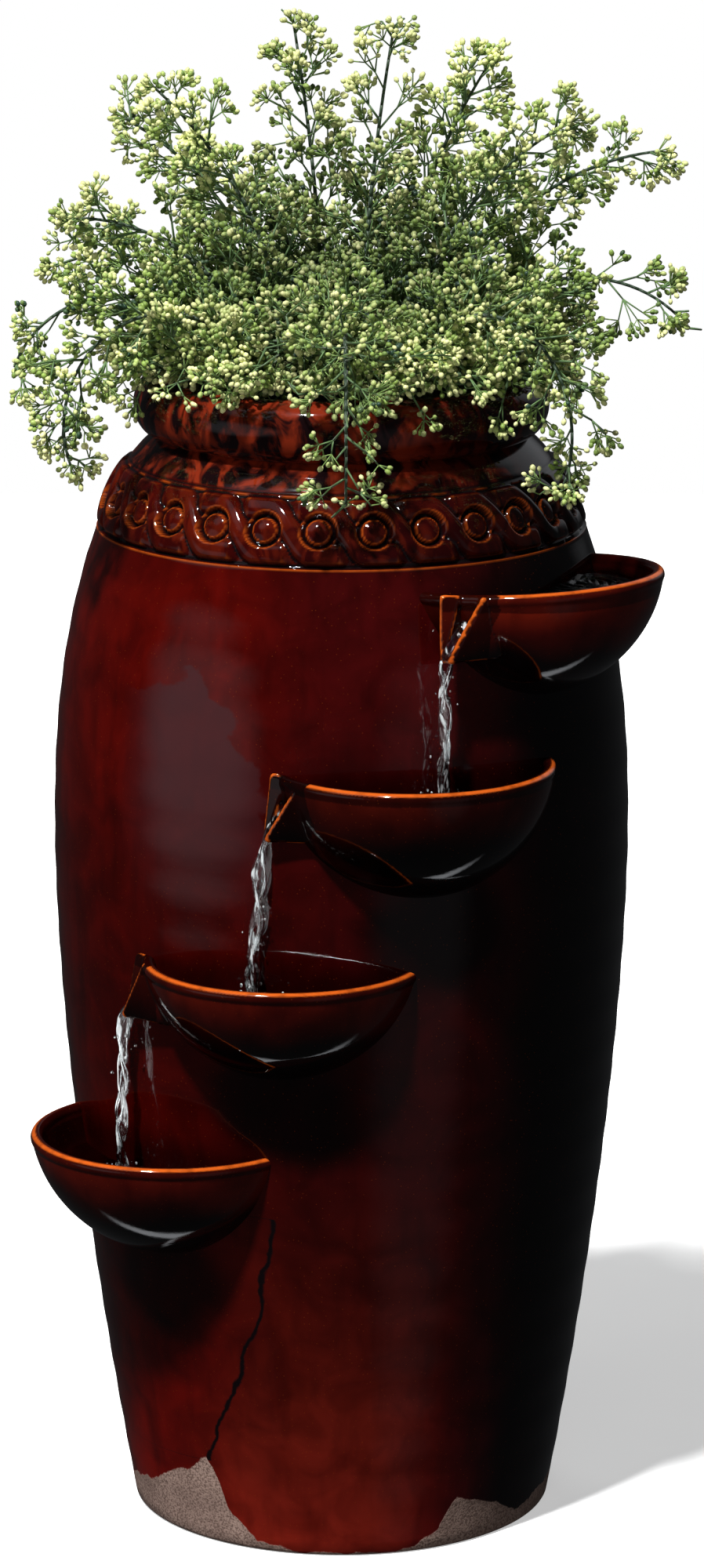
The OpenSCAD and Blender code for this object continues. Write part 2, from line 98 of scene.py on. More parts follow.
# Planting
FOAM_Z = 812
STEM_R = 2
STEM_DEPTH = 25
SPRAY_TIPS = ((-37, 30, 1100), (40, -20, 1102), (-132, -40, 1046), (-157, 60, 1012),
              (-186, -60, 956), (-206, 50, 905), (-234, -20, 838), (-188, -112, 788),
              (103, 20, 1052), (163, -50, 1024), (228, 24, 992), (250, -40, 868),
              (3, -185, 770), (150, -150, 775), (20, 190, 930), (-110, 160, 960),
              (116, 164, 946))
SPRAY_ROOTS = ((-12, 10), (14, -8), (-34, -14), (-40, 22), (-58, -24), (-66, 18),
               (-84, -6), (-60, -46), (34, 6), (44, -18), (66, 6), (84, -14),
               (2, -62), (50, -50), (6, 66), (-36, 56), (40, 54))


# ---- Numbers and outlines ----

def smooth(value, low, high):
    """0 below low, 1 above high, and a smooth step between them."""
    t = np.clip((value - low) / (high - low), 0, 1)
    return t * t * (3 - 2 * t)


def body_r(z):
    """Outer radius of the jar at a height below the ridge."""
    z = np.asarray(z, float)
    low = BELLY_R - (BELLY_R - FOOT_R) * np.abs((BELLY_Z - z) / BELLY_Z) ** FOOT_CURVE
    rise = np.abs((z - BELLY_Z) / (RIDGE_Z - BELLY_Z))
    return np.where(z < BELLY_Z, low, BELLY_R - (BELLY_R - RIDGE_R) * rise ** RIDGE_CURVE)


def resample(points, step):
    """Points about a step apart along a polyline, its ends kept."""
    points = np.array(points, float)
    run = np.concatenate([[0], np.cumsum(np.linalg.norm(np.diff(points, axis=0), axis=1))])
    count = max(1, round(run[-1] / step))
    at = np.linspace(0, run[-1], count + 1)
    return np.stack([np.interp(at, run, points[:, k]) for k in range(points.shape[1])], 1)


def rounded(points, passes=2):
    """A polyline with its corners cut, its ends kept."""
    points = np.array(points, float)
    for _ in range(passes):
        near = points[:-1] * 0.75 + points[1:] * 0.25
        far = points[:-1] * 0.25 + points[1:] * 0.75
        cut = np.stack([near, far], 1).reshape(-1, points.shape[1])
        points = np.concatenate([points[:1], cut, points[-1:]])
    return points


def waves(points, sizes, seed):
    """A smooth random value from about -1 to 1 at each point, from waves of the given sizes."""
    rng = np.random.default_rng(seed)
    total = np.zeros(len(points))
    for size in sizes:
        for _ in range(4):
            way = rng.normal(size=3)
            way *= 2 * math.pi / size / np.linalg.norm(way)
            total += np.sin(points @ way + rng.uniform(0, 6.283)) / 4
    return total / math.sqrt(len(sizes))


def azimuth_of(points):
    """Azimuth in degrees of each point, from the front towards the right."""
    return np.degrees(np.arctan2(points[:, 0], -points[:, 1]))


# ---- Meshes ----

def linked(name, data):
    """An object for a mesh, lamp or camera, put in the scene."""
    made = bpy.data.objects.new(name, data)
    bpy.context.scene.collection.objects.link(made)
    return made


def new_object(name, vertices, faces, material=None):
    """An object from points in millimetres and a list of face arrays, each of one size."""
    mesh = bpy.data.meshes.new(name)
    faces = [f for f in faces if len(f)]
    loops = np.concatenate([f.ravel() for f in faces]).astype(np.int32)
    sizes = np.concatenate([np.full(len(f), f.shape[1], np.int32) for f in faces])
    mesh.vertices.add(len(vertices))
    mesh.vertices.foreach_set("co", (np.asarray(vertices, float) * MM).astype(np.float32).ravel())
    mesh.loops.add(len(loops))
    mesh.loops.foreach_set("vertex_index", loops)
    mesh.polygons.add(len(sizes))
    starts = np.concatenate([[0], np.cumsum(sizes)[:-1]]).astype(np.int32)
    mesh.polygons.foreach_set("loop_start", starts)
    mesh.update(calc_edges=True)
    mesh.validate()
    mesh.shade_smooth()
    if material is not None:
        mesh.materials.append(material)
    return linked(name, mesh)


def points_of(piece):
    """A piece's vertices in millimetres."""
    flat = np.zeros(len(piece.data.vertices) * 3, np.float32)
    piece.data.vertices.foreach_get("co", flat)
    return flat.reshape(-1, 3).astype(float) / MM


def set_points(piece, points):
    """Moves a piece's vertices to points in millimetres."""
    piece.data.vertices.foreach_set("co", (points * MM).astype(np.float32).ravel())
    piece.data.update()


def ring(radius, z, columns):
    """A level ring of points, starting at the front and running towards the right."""
    turn = np.arange(columns) * 2 * math.pi / columns
    radius = np.broadcast_to(radius, columns)
    return np.stack([radius * np.sin(turn), -radius * np.cos(turn), np.broadcast_to(z, columns)], 1)


def stitch(rings):
    """Joins rings of points into one skin. Counts may change by a whole factor between rings."""
    starts = np.concatenate([[0], np.cumsum([len(r) for r in rings])])
    quads, tris = [], []
    for k in range(len(rings) - 1):
        a, b = starts[k], starts[k + 1]
        na, nb = len(rings[k]), len(rings[k + 1])
        if na == nb:
            i = np.arange(na)
            j = (i + 1) % na
            quads.append(np.stack([a + i, a + j, b + j, b + i], 1))
            continue
        few, many = min(na, nb), max(na, nb)
        factor = many // few
        i = np.arange(few)
        j = (i + 1) % few
        for s in range(factor):
            f0 = i * factor + s
            f1 = (f0 + 1) % many
            near = i if s < factor // 2 else j
            if na == few:
                tris.append(np.stack([a + near, b + f1, b + f0], 1))
            else:
                tris.append(np.stack([a + f0, a + f1, b + near], 1))
        middle = (i * factor + factor // 2) % many
        if na == few:
            tris.append(np.stack([a + i, a + j, b + middle], 1))
        else:
            tris.append(np.stack([a + middle, b + j, b + i], 1))
    points = np.concatenate(rings)
    first, last = len(points), len(points) + 1
    points = np.concatenate([points, [rings[0].mean(0)], [rings[-1].mean(0)]])
    i = np.arange(len(rings[0]))
    tris.append(np.stack([np.full(len(i), first), (i + 1) % len(i), i], 1))
    i = np.arange(len(rings[-1]))
    tris.append(np.stack([np.full(len(i), last), starts[-2] + i,
                          starts[-2] + (i + 1) % len(i)], 1))
    faces = [np.concatenate(f) for f in (quads, tris) if f]
    return points, faces


def applied(piece):
    """Makes a piece's modifiers part of its mesh."""
    graph = bpy.context.evaluated_depsgraph_get()
    mesh = bpy.data.meshes.new_from_object(piece.evaluated_get(graph))
    old = piece.data
    piece.modifiers.clear()
    piece.data = mesh
    bpy.data.meshes.remove(old)
    mesh.shade_smooth()
    return piece


def cut(piece, cutters):
    """Cuts each cutter from a piece, and removes the cutter."""
    for cutter in cutters:
        step = piece.modifiers.new("cut", "BOOLEAN")
        step.operation = "DIFFERENCE"
        step.solver = "MANIFOLD"
        step.object = cutter
    bpy.context.view_layer.update()
    applied(piece)
    for cutter in cutters:
        bpy.data.objects.remove(cutter)
    return piece


def remeshed(piece, voxel):
    """Makes a piece one even skin, with faces about voxel millimetres across."""
    step = piece.modifiers.new("remesh", "REMESH")
    step.mode = "VOXEL"
    step.voxel_size = voxel * MM
    return applied(piece)


def softened(piece, passes):
    """Evens out a piece's skin."""
    step = piece.modifiers.new("smooth", "SMOOTH")
    step.factor = 0.5
    step.iterations = passes
    return applied(piece)


def paint(piece, material):
    """Gives a whole piece one material."""
    piece.data.materials.clear()
    piece.data.materials.append(material)
    piece.data.polygons.foreach_set("material_index", np.zeros(len(piece.data.polygons), np.int32))


def hull(centres, radius):
    """A closed convex mesh round balls at the given points."""
    made = bmesh.new()
    for centre in centres:
        ball = bmesh.ops.create_icosphere(made, subdivisions=2, radius=radius * MM)
        bmesh.ops.translate(made, verts=ball["verts"], vec=Vector(centre) * MM)
    found = bmesh.ops.convex_hull(made, input=made.verts)
    spare = {e for e in found["geom_interior"] if isinstance(e, bmesh.types.BMVert)}
    bmesh.ops.delete(made, geom=list(spare), context="VERTS")
    mesh = bpy.data.meshes.new("hull")
    made.to_mesh(mesh)
    made.free()
    return linked("hull", mesh)


def joined(pieces):
    """One object from several, the first one kept."""
    made = bmesh.new()
    for piece in pieces:
        made.from_mesh(piece.data)
    made.to_mesh(pieces[0].data)
    made.free()
    for piece in pieces[1:]:
        bpy.data.objects.remove(piece)
    return pieces[0]


def set_value(piece, name, values):
    """Stores one number at each vertex of a piece."""
    attribute = piece.data.attributes.new(name, "FLOAT", "POINT")
    attribute.data.foreach_set("value", np.asarray(values, np.float32))


def set_colour(piece, name, colours):
    """Stores one colour at each vertex of a piece."""
    attribute = piece.data.attributes.new(name, "FLOAT_COLOR", "POINT")
    rgba = np.concatenate([colours, np.ones((len(colours), 1))], 1)
    attribute.data.foreach_set("color", rgba.astype(np.float32).ravel())


def convexity(piece, passes):
    """How sharply the surface bends outwards at each vertex, in 1/mm, smoothed."""
    points = points_of(piece)
    edges = np.zeros(len(piece.data.edges) * 2, np.int32)
    piece.data.edges.foreach_get("vertices", edges)
    a, b = edges.reshape(-1, 2).T
    normals = np.zeros(len(points) * 3, np.float32)
    piece.data.vertices.foreach_get("normal", normals)
    normals = normals.reshape(-1, 3)
    step = points[b] - points[a]
    square = np.maximum((step ** 2).sum(1), 1e-6)
    count = np.bincount(a, minlength=len(points)) + np.bincount(b, minlength=len(points))
    at_a = -(step * normals[a]).sum(1) / square
    at_b = (step * normals[b]).sum(1) / square
    bend = np.bincount(a, at_a, len(points)) + np.bincount(b, at_b, len(points))
    bend = bend / np.maximum(count, 1)
    for _ in range(passes):
        near = np.bincount(a, bend[b], len(points)) + np.bincount(b, bend[a], len(points))
        bend = 0.5 * bend + 0.5 * near / np.maximum(count, 1)
    return bend


# ---- Materials ----

class Nodes:
    """Short ways to add sums to a node tree."""

    def __init__(self, tree):
        self.tree = tree

    def feed(self, socket, value):
        """Links an output to a socket, or sets the socket to a number or colour."""
        if isinstance(value, bpy.types.NodeSocket):
            self.tree.links.new(value, socket)
        elif value is not None:
            socket.default_value = value

    def math(self, operation, a, b=None):
        """One sum on one or two numbers."""
        node = self.tree.nodes.new("ShaderNodeMath")
        node.operation = operation
        self.feed(node.inputs[0], a)
        self.feed(node.inputs[1], b)
        return node.outputs[0]

    def step(self, value, low, high, start=0.0, end=1.0):
        """Turns value from low to high into start to end, with a smooth step."""
        node = self.tree.nodes.new("ShaderNodeMapRange")
        node.interpolation_type = "SMOOTHSTEP"
        for socket, item in zip(node.inputs, (value, low, high, start, end)):
            self.feed(socket, item)
        return node.outputs["Result"]


class Finish(Nodes):
    """A material's nodes, with the steps that the finishes below share."""

    def __init__(self, name):
        self.material = bpy.data.materials.new(name)
        self.material.use_nodes = True
        super().__init__(self.material.node_tree)
        self.shader = self.tree.nodes["Principled BSDF"]
        self.place = self.tree.nodes.new("ShaderNodeTexCoord").outputs["Object"]

    def set(self, **values):
        """Sets the shader's own sockets: base_color is Base Color, and so on."""
        for name, value in values.items():
            self.feed(self.shader.inputs[name.replace("_", " ").title().replace("Ior", "IOR")], value)
        return self.material

    def mix(self, share, a, b, blend="MIX"):
        """Blends colour a into colour b."""
        node = self.tree.nodes.new("ShaderNodeMix")
        node.data_type = "RGBA"
        node.blend_type = blend
        self.feed(node.inputs["Factor"], share)
        for socket, value in ((node.inputs[6], a), (node.inputs[7], b)):
            self.feed(socket, (*value, 1) if isinstance(value, tuple) else value)
        return node.outputs[2]

    def stretched(self, x, y, z):
        """The place with each axis scaled, so that a pattern stretches."""
        node = self.tree.nodes.new("ShaderNodeVectorMath")
        node.operation = "MULTIPLY"
        self.feed(node.inputs[0], self.place)
        node.inputs[1].default_value = (x, y, z)
        return node.outputs[0]

    def noise(self, size, detail=2.0, place=None, warp=0.0):
        """Smooth noise with features about size millimetres across, from 0 to 1."""
        node = self.tree.nodes.new("ShaderNodeTexNoise")
        self.feed(node.inputs["Vector"], self.place if place is None else place)
        node.inputs["Scale"].default_value = 1 / (size * MM)
        node.inputs["Detail"].default_value = detail
        node.inputs["Distortion"].default_value = warp
        return node.outputs["Factor" if "Factor" in node.outputs else "Fac"]

    def wander(self, size, detail, reach):
        """Smooth noise about zero, in all reach millimetres wide."""
        return self.math("MULTIPLY", self.math("SUBTRACT", self.noise(size, detail), 0.5), reach)

    def cells(self, size):
        """Distance to the nearest of points about size millimetres apart."""
        node = self.tree.nodes.new("ShaderNodeTexVoronoi")
        self.feed(node.inputs["Vector"], self.place)
        node.inputs["Scale"].default_value = 1 / (size * MM)
        return node.outputs["Distance"]

    def stored(self, name, kind="Fac"):
        """A number or colour stored at the vertices."""
        node = self.tree.nodes.new("ShaderNodeAttribute")
        node.attribute_name = name
        return node.outputs[kind]

    def bump(self, height, depth, strength=1.0, under=None):
        """A bump of the given depth in millimetres, on top of another one."""
        node = self.tree.nodes.new("ShaderNodeBump")
        node.inputs["Strength"].default_value = strength
        node.inputs["Distance"].default_value = depth * MM
        self.feed(node.inputs["Height"], height)
        self.feed(node.inputs["Normal"], under)
        return node.outputs["Normal"]


AMBER = (0.58, 0.100, 0.010)
BLACK_GLAZE = (0.004, 0.002, 0.0025)
TORTOISE = (0.20, 0.020, 0.006)
# Colour of the painted reflection: a soft purple-grey window mirrored in the glaze, painted into its
# base colour
PAINTED_REFLECTION = (0.042, 0.010, 0.012)
CLAY = (0.43, 0.295, 0.243)
DARK_CLAY = (0.30, 0.20, 0.165)
CLAY_GRIT = (0.16, 0.10, 0.08)


def glaze(name, tortoise):
    """Red and black reactive glaze, with a painted reflection of a soft window on its left front. It
    breaks to amber on edges and leaves some clay bare.
    """
    f = Finish(name)
    broad = f.noise(38, 3, warp=0.6)
    runs = f.noise(16, 3, f.stretched(1, 1, 0.16))
    base = f.mix(f.step(broad, 0.25, 0.75), f.stored("tone", "Color"), (0.5, 0.42, 0.42), "MULTIPLY")
    base = f.mix(f.step(runs, 0.45, 0.75, 0, 0.4), base, (0.35, 0.3, 0.3), "MULTIPLY")
    flecks = f.step(f.cells(4.0), 0.12, 0.07, 0, 0.10)
    base = f.mix(flecks, base, AMBER)
    if tortoise:
        shell = f.noise(20, 4, f.stretched(1, 1, 0.6), warp=1.2)
        shade = f.mix(f.step(shell, 0.42, 0.62), BLACK_GLAZE, TORTOISE)
        base = f.mix(f.stored("tortoise"), base, shade)
    # Painted reflection: the mirrored soft window is painted into the base colour over a patch on the
    # left front
    painted_reflection_edge = f.math("ADD", f.stored("painted_reflection_edge"), f.wander(30, 5, 60))
    painted_reflection = f.math("MULTIPLY", f.step(painted_reflection_edge, -2, 3), f.stored("painted_reflection"))
    base = f.mix(painted_reflection, base, PAINTED_REFLECTION)
    wander = f.wander(24, 4, 16)
    line = f.math("ABSOLUTE", f.math("ADD", f.stored("run"), wander))
    base = f.mix(f.step(line, 2.6, 0.8), base, BLACK_GLAZE)
    base = f.mix(f.stored("pools"), base, BLACK_GLAZE)
    edges = f.math("MULTIPLY", f.stored("breaks"), f.step(f.noise(9, 3), 0.2, 0.6, 0.55, 1))
    base = f.mix(edges, base, AMBER)
    bare = f.step(f.math("ADD", f.stored("clay"), wander), -0.6, 0.9)
    grain = f.noise(1.6, 4)
    clay = f.mix(f.step(f.noise(20, 3), 0.3, 0.7), CLAY, DARK_CLAY)
    clay = f.mix(f.step(grain, 0.35, 0.6), CLAY_GRIT, clay)
    base = f.mix(bare, base, clay)
    peel = f.bump(f.noise(7, 2), 0.10, 0.35)
    rough = f.bump(f.math("MULTIPLY", grain, bare), 0.35, 0.8, peel)
    polish = f.step(f.noise(30, 2), 0.3, 0.7, 0.035, 0.09)
    dullness = f.math("ADD", polish, f.math("MULTIPLY", bare, 0.55))
    return f.set(base_color=base, roughness=dullness, normal=rough)


def moulded(name, colour, roughness, grain=0.9, depth=0.05):
    """Moulded plastic or rubber with a fine texture and faint handling marks."""
    f = Finish(name)
    marks = f.noise(14, 4, warp=0.5)
    base = f.mix(f.step(marks, 0.35, 0.7), colour, tuple(c * 0.72 for c in colour))
    return f.set(base_color=base, normal=f.bump(f.noise(grain, 3), depth, 0.7),
                 roughness=f.step(marks, 0.3, 0.75, roughness - 0.07, roughness + 0.1))


def metal(name, colour, roughness, axis=(1, 1, 12)):
    """Brushed or ground metal."""
    f = Finish(name)
    scratch = f.noise(1.2, 3, f.stretched(*axis))
    base = f.mix(f.step(scratch, 0.3, 0.7), colour, tuple(c * 0.8 for c in colour))
    return f.set(base_color=base, metallic=1.0, normal=f.bump(scratch, 0.03, 0.6),
                 roughness=f.step(scratch, 0.3, 0.7, roughness, roughness + 0.12))


def porous(name, light, dark, cell):
    """Sponge or foam with open cells."""
    f = Finish(name)
    holes = f.cells(cell)
    base = f.mix(f.step(holes, 0.15, 0.5), dark, light)
    base = f.mix(f.step(f.noise(9, 4), 0.35, 0.7, 0, 0.6), base, dark)
    return f.set(base_color=base, roughness=0.95, normal=f.bump(holes, cell * 0.4, 0.9))


def water_finish(name, ripple, foam):
    """Clear water. Its white streaks stand partly for fine bubbles and partly for painted glints; foam
    is how white they are.
    """
    f = Finish(name)
    clear = 1.0
    if foam:
        # White streaks: partly froth, partly painted glints
        clear = f.step(f.noise(4.5, 3, f.stretched(1, 1, 0.3)), 0.54, 0.64, 1, 1 - foam)
    return f.set(base_color=(0.93, 0.97, 0.98, 1), roughness=0.015, ior=1.333,
                 transmission_weight=clear, normal=f.bump(f.noise(ripple, 3, warp=0.8), 0.5, 0.5))


def foliage_finish():
    """Soft plastic in each vertex's own colour, slightly mottled."""
    f = Finish("foliage")
    tint = f.stored("tone", "Color")
    base = f.mix(f.step(f.noise(2.2, 3), 0.35, 0.7, 0, 0.35), tint, (0.35, 0.45, 0.3), "MULTIPLY")
    return f.set(base_color=base, roughness=0.5, sheen_weight=0.15,
                 normal=f.bump(f.noise(0.9, 2), 0.08, 0.5))


# ---- Camera, light and floor ----

def aim(thing, place, target):
    """Puts a camera or lamp at a place and turns it to a target."""
    thing.location = place
    thing.rotation_euler = (Vector(target) - Vector(place)).to_track_quat("-Z", "Y").to_euler()


def make_camera():
    """A long lens from a little above the lip."""
    camera = linked("camera", bpy.data.cameras.new("camera"))
    camera.data.lens = 141.1
    camera.data.sensor_width = 36
    camera.data.shift_x = 0.00675
    camera.data.clip_end = 50
    aim(camera, (0, -4.330, 1.559), (0, 0, 0.5354))
    bpy.context.scene.camera = camera


def make_light(name, kind, place, target, energy):
    """A lamp that shines from a place at a target."""
    lamp = linked(name, bpy.data.lights.new(name, kind))
    lamp.data.energy = energy
    aim(lamp, place, target)
    return lamp


# Soft windows that the glaze mirrors: azimuth, elevation, half width and half height in
# degrees, brightness
WINDOWS = ((-60, -1, 32, 20, 0.27), (180, -74, 34, 5, 1.6), (-60, 50, 22, 22, 0.4),
           (150, 25, 30, 30, 0.3), (32, -14, 24, 34, 0.06))
ROOM_LIGHT = 0.022
# Soft boxes: name, place, target, power, width, height
BOXES = (("left_box", (-2.6, -1.6, 1.6), (0, 0, 0.55), 8, 1.4, 1.9),
         ("front_fill", (-0.3, -3.2, 0.5), (0, 0, 0.3), 16, 1.6, 0.8),
         ("right_fill", (2.6, -2.0, 1.4), (0, 0, 0.55), 3, 1.2, 1.2),
         ("back_fill", (-1.1, 2.8, 1.5), (0, 0, 0.55), 14, 1.6, 1.6))


def soft_windows(tree):
    """Brightness of the studio in each direction: a dim room with a few soft windows."""
    sums = Nodes(tree)

    def along(vector):
        """How far the direction looked in goes along a vector."""
        node = tree.nodes.new("ShaderNodeVectorMath")
        node.operation = "DOT_PRODUCT"
        tree.links.new(way, node.inputs[0])
        node.inputs[1].default_value = vector
        return node.outputs["Value"]

    way = tree.nodes.new("ShaderNodeTexCoord").outputs["Generated"]
    total = ROOM_LIGHT
    for azimuth, elevation, width, height, brightness in WINDOWS:
        a, e = math.radians(azimuth), math.radians(elevation)
        middle = Vector((math.sin(a) * math.cos(e), -math.cos(a) * math.cos(e), math.sin(e)))
        side = Vector((math.cos(a), math.sin(a), 0))
        u = sums.math("DIVIDE", along(side), math.sin(math.radians(width)))
        v = sums.math("DIVIDE", along(side.cross(middle)), math.sin(math.radians(height)))
        out = sums.math("ADD", sums.math("MULTIPLY", u, u), sums.math("MULTIPLY", v, v))
        fade = sums.step(out, 1.0, 0.15, 0.0, brightness)
        ahead = sums.math("GREATER_THAN", along(middle), 0.0)
        total = sums.math("ADD", total, sums.math("MULTIPLY", fade, ahead))
    return total


def make_studio():
    """A bright backdrop for the camera, a high key light, and soft boxes at the sides."""
    scene = bpy.context.scene
    scene.view_settings.view_transform = "Standard"
    world = bpy.data.worlds.new("studio")
    scene.world = world
    world.use_nodes = True
    tree = world.node_tree
    seen = tree.nodes["Background"]
    seen.inputs["Color"].default_value = (1, 1, 1, 1)
    unseen = tree.nodes.new("ShaderNodeBackground")
    unseen.inputs["Color"].default_value = (0.92, 0.95, 1.0, 1)
    tree.links.new(soft_windows(tree), unseen.inputs["Strength"])
    paths = tree.nodes.new("ShaderNodeLightPath")
    mix = tree.nodes.new("ShaderNodeMixShader")
    tree.links.new(paths.outputs["Is Camera Ray"], mix.inputs[0])
    tree.links.new(unseen.outputs[0], mix.inputs[1])
    tree.links.new(seen.outputs[0], mix.inputs[2])
    tree.links.new(mix.outputs[0], tree.nodes["World Output"].inputs["Surface"])
    key = make_light("key", "SUN", (-1.1, -2.0, 4.6), (0, 0, 0.55), 4.8)
    key.data.angle = math.radians(4)
    for name, spot, target, power, width, height in BOXES:
        box = make_light(name, "AREA", spot, target, power)
        box.data.shape = "RECTANGLE"
        box.data.size = width
        box.data.size_y = height
        box.visible_glossy = False


def make_floor():
    """A plain pale floor that takes a faint shadow."""
    f = Finish("floor")
    pale = f.mix(f.step(f.noise(60, 3), 0.3, 0.7), (0.93, 0.93, 0.92), (0.90, 0.90, 0.90))
    f.set(base_color=pale, roughness=0.9, emission_color=(1, 1, 1, 1), emission_strength=0.45)
    half = 4000
    corners = np.array([[-half, -half, 0], [half, -half, 0], [half, half, 0], [-half, half, 0]])
    floor = new_object("floor", corners, [np.array([[0, 1, 2, 3]])], f.material)
    floor.visible_glossy = False
    floor.visible_diffuse = False


# ---- Jar ----

def frieze_relief(turn, y):
    """Height of the frieze's relief: turn is the azimuth in radians, y the way up its band."""
    x = (turn - math.radians(BOSS_START)) * FRIEZE_MID[0]
    x = (x + PITCH / 2) % PITCH - PITCH / 2
    out = np.hypot(x, y)
    height = np.zeros_like(out)
    half, rise, swing, overrun = 8.7, 4.6, 16.2, 0.62 * PITCH
    for shift in (-PITCH, 0, PITCH, 2 * PITCH):
        along = np.clip(x + shift, 0, PITCH)
        middle = swing * np.cos(math.pi * along / PITCH)
        slope = swing * math.pi / PITCH * np.sin(math.pi * along / PITCH)
        off = np.abs(y - middle) / np.sqrt(1 + slope ** 2)
        ends = smooth(x + shift, -overrun, -0.36 * PITCH)
        ends = ends * (1 - smooth(x + shift, PITCH * 1.36, PITCH + overrun))
        crown = (rise + 1.6 * np.sin(math.pi * along / PITCH)) * ends
        reach = half * (0.6 + 0.4 * ends)
        height = np.maximum(height, crown * np.clip(1 - (off / reach) ** 2.6, 0, 1) ** 0.6)
    height = np.maximum(height, 2.0 * np.exp(-((out - 12.6) / 1.5) ** 2))
    height = height * smooth(out, 10.8, 13.0) * (1 - smooth(np.abs(y), 23.0, 24.8))
    height -= 1.2 * np.exp(-((out - 10.6) / 1.0) ** 2)
    height += 0.7 * np.exp(-((out - 8.4) / 0.8) ** 2)
    height += 3.8 * np.sqrt(np.clip(1 - (out / 9.2) ** 2, 0, 1))
    return height


def edge_relief(y):
    """The ridge under the frieze with a groove above it, and the fine line over the frieze."""
    low, top = y + 27.5, y - 25.2
    return (1.7 * np.exp(-(low / 1.5) ** 2) - 0.9 * np.exp(-((low - 3.6) / 1.0) ** 2)
            + 1.1 * np.exp(-(top / 1.0) ** 2) - 0.7 * np.exp(-((top + 2.2) / 0.8) ** 2))


def frieze_rings():
    """The fine rings of the shoulder, with the frieze raised on them."""
    line = rounded([(RIDGE_R, RIDGE_Z), (RIDGE_R - 2.5, RIDGE_Z + 2.5), (172, 730), FRIEZE_MID,
                    FRIEZE_TOP, (150, 778)])
    line = resample(line, FINE_STEP)
    run = np.concatenate([[0], np.cumsum(np.linalg.norm(np.diff(line, axis=0), axis=1))])
    middle = np.interp(FRIEZE_MID[1], line[:, 1], run)
    way = np.gradient(line, axis=0)
    way /= np.linalg.norm(way, axis=1, keepdims=True)
    turn = np.arange(FINE_COLUMNS) * 2 * math.pi / FINE_COLUMNS
    rings = []
    for (r, z), (dr, dz), s in zip(line, way, run):
        y = s - middle
        relief = frieze_relief(turn, np.full_like(turn, y)) + edge_relief(y)
        rings.append(ring(r + relief * dz, z - relief * dr, FINE_COLUMNS))
    return rings


def lip_line():
    """The shoulder band, the rolled lip and the seat inside it."""
    turn = np.radians(np.arange(-80, 108, 4))
    lip = np.stack([LIP_R + LIP_HALF_W * np.cos(turn), LIP_Z + LIP_HALF_H * np.sin(turn)], 1)
    shoulder = resample([(150, 778), (143.5, 785.5), (136, 792.5), lip[0]], 2.5)
    seat = rounded([lip[-1], (SEAT_R + 0.5, LIP_Z + LIP_HALF_H - 2), (SEAT_R, LIP_Z + 14),
                    (SEAT_R, LEDGE_Z)], 2)
    return np.concatenate([shoulder[1:], lip[1:], seat[1:]])


def make_jar(material):
    """The jar's closed skin, from the middle of the foot over the lip to the floor inside."""
    foot = resample([(30, 0), (FOOT_R - 3, 0)], 30)
    heights = np.linspace(3, RIDGE_Z - 4, 92)
    body = np.stack([body_r(heights), heights], 1)
    body = np.concatenate([rounded([(FOOT_R - 3, 0), (FOOT_R - 0.8, 0.8), body[0]], 2)[1:], body[1:]])
    inner_z = np.linspace(RIDGE_Z, JAR_FLOOR + 6, 24)
    inner = np.stack([body_r(inner_z) - WALL, inner_z], 1)
    mouth = resample([(SEAT_R, LEDGE_Z), (MOUTH_R, LEDGE_Z), (MOUTH_R, LIP_Z - LIP_HALF_H),
                      (FRIEZE_TOP[0] - WALL - 1, FRIEZE_TOP[1] - 6), inner[0]], 8)
    floor = resample([(body_r(JAR_FLOOR) - WALL - 6, JAR_FLOOR), (30, JAR_FLOOR)], 30)
    rings = [ring(r, z, COLUMNS) for r, z in np.concatenate([foot, body])]
    rings += frieze_rings()
    rings += [ring(r, z, COLUMNS) for r, z in np.concatenate([lip_line(), mouth[1:], inner[1:], floor])]
    points, faces = stitch(rings)
    out = np.hypot(points[:, 0], points[:, 1])
    thrown = 0.22 * np.sin(points[:, 2] / 5.5 + waves(points, (400,), SEED) * 2)
    thrown += 0.5 * waves(points, (320, 190), SEED + 1)
    outside = smooth(points[:, 2], 4, 30) * (out > body_r(np.clip(points[:, 2], 0, RIDGE_Z)) - 5)
    scale = 1 + thrown * outside * (points[:, 2] < RIDGE_Z - 12) / np.maximum(out, 1)
    points[:, :2] *= scale[:, None]
    jar = new_object("jar_glazed_body", points, faces)
    cut(jar, [wall_cutter(*hole[:3]) for hole in WALL_HOLES] + spot_cutters())
    paint(jar, material)
    jar.data.set_sharp_from_angle(angle=math.radians(55))
    return jar


def wall_cutter(azimuth, z, radius, start=None):
    """A closed rod through the wall on a ray from the jar's axis."""
    a = math.radians(azimuth)
    start = float(body_r(z)) - 30 if start is None else start
    rings = []
    for reach in (start, CUTTER_END):
        flat = ring(radius, 0, 48)
        across = flat[:, 0]
        up = -flat[:, 1]
        rings.append(np.stack([reach * math.sin(a) + across * math.cos(a),
                               -reach * math.cos(a) + across * math.sin(a), z + up], 1))
    points, faces = stitch(rings)
    return new_object("cutter", points, [f[:, ::-1] for f in faces])


def spot_cutters():
    """The flat faces round the holes that have one."""
    return [wall_cutter(azimuth, z, face, start=float(body_r(z)) - SPOT_FACE_DEPTH)
            for azimuth, z, _, face in WALL_HOLES if face]


RED_GLAZE = (0.105, 0.0022, 0.0008)
DEEP_GLAZE = (0.056, 0.0020, 0.0022)
# Near-black colour of the painted shade on the jar's right side, away from the key light
PAINTED_SHADE = (0.004, 0.0015, 0.0018)


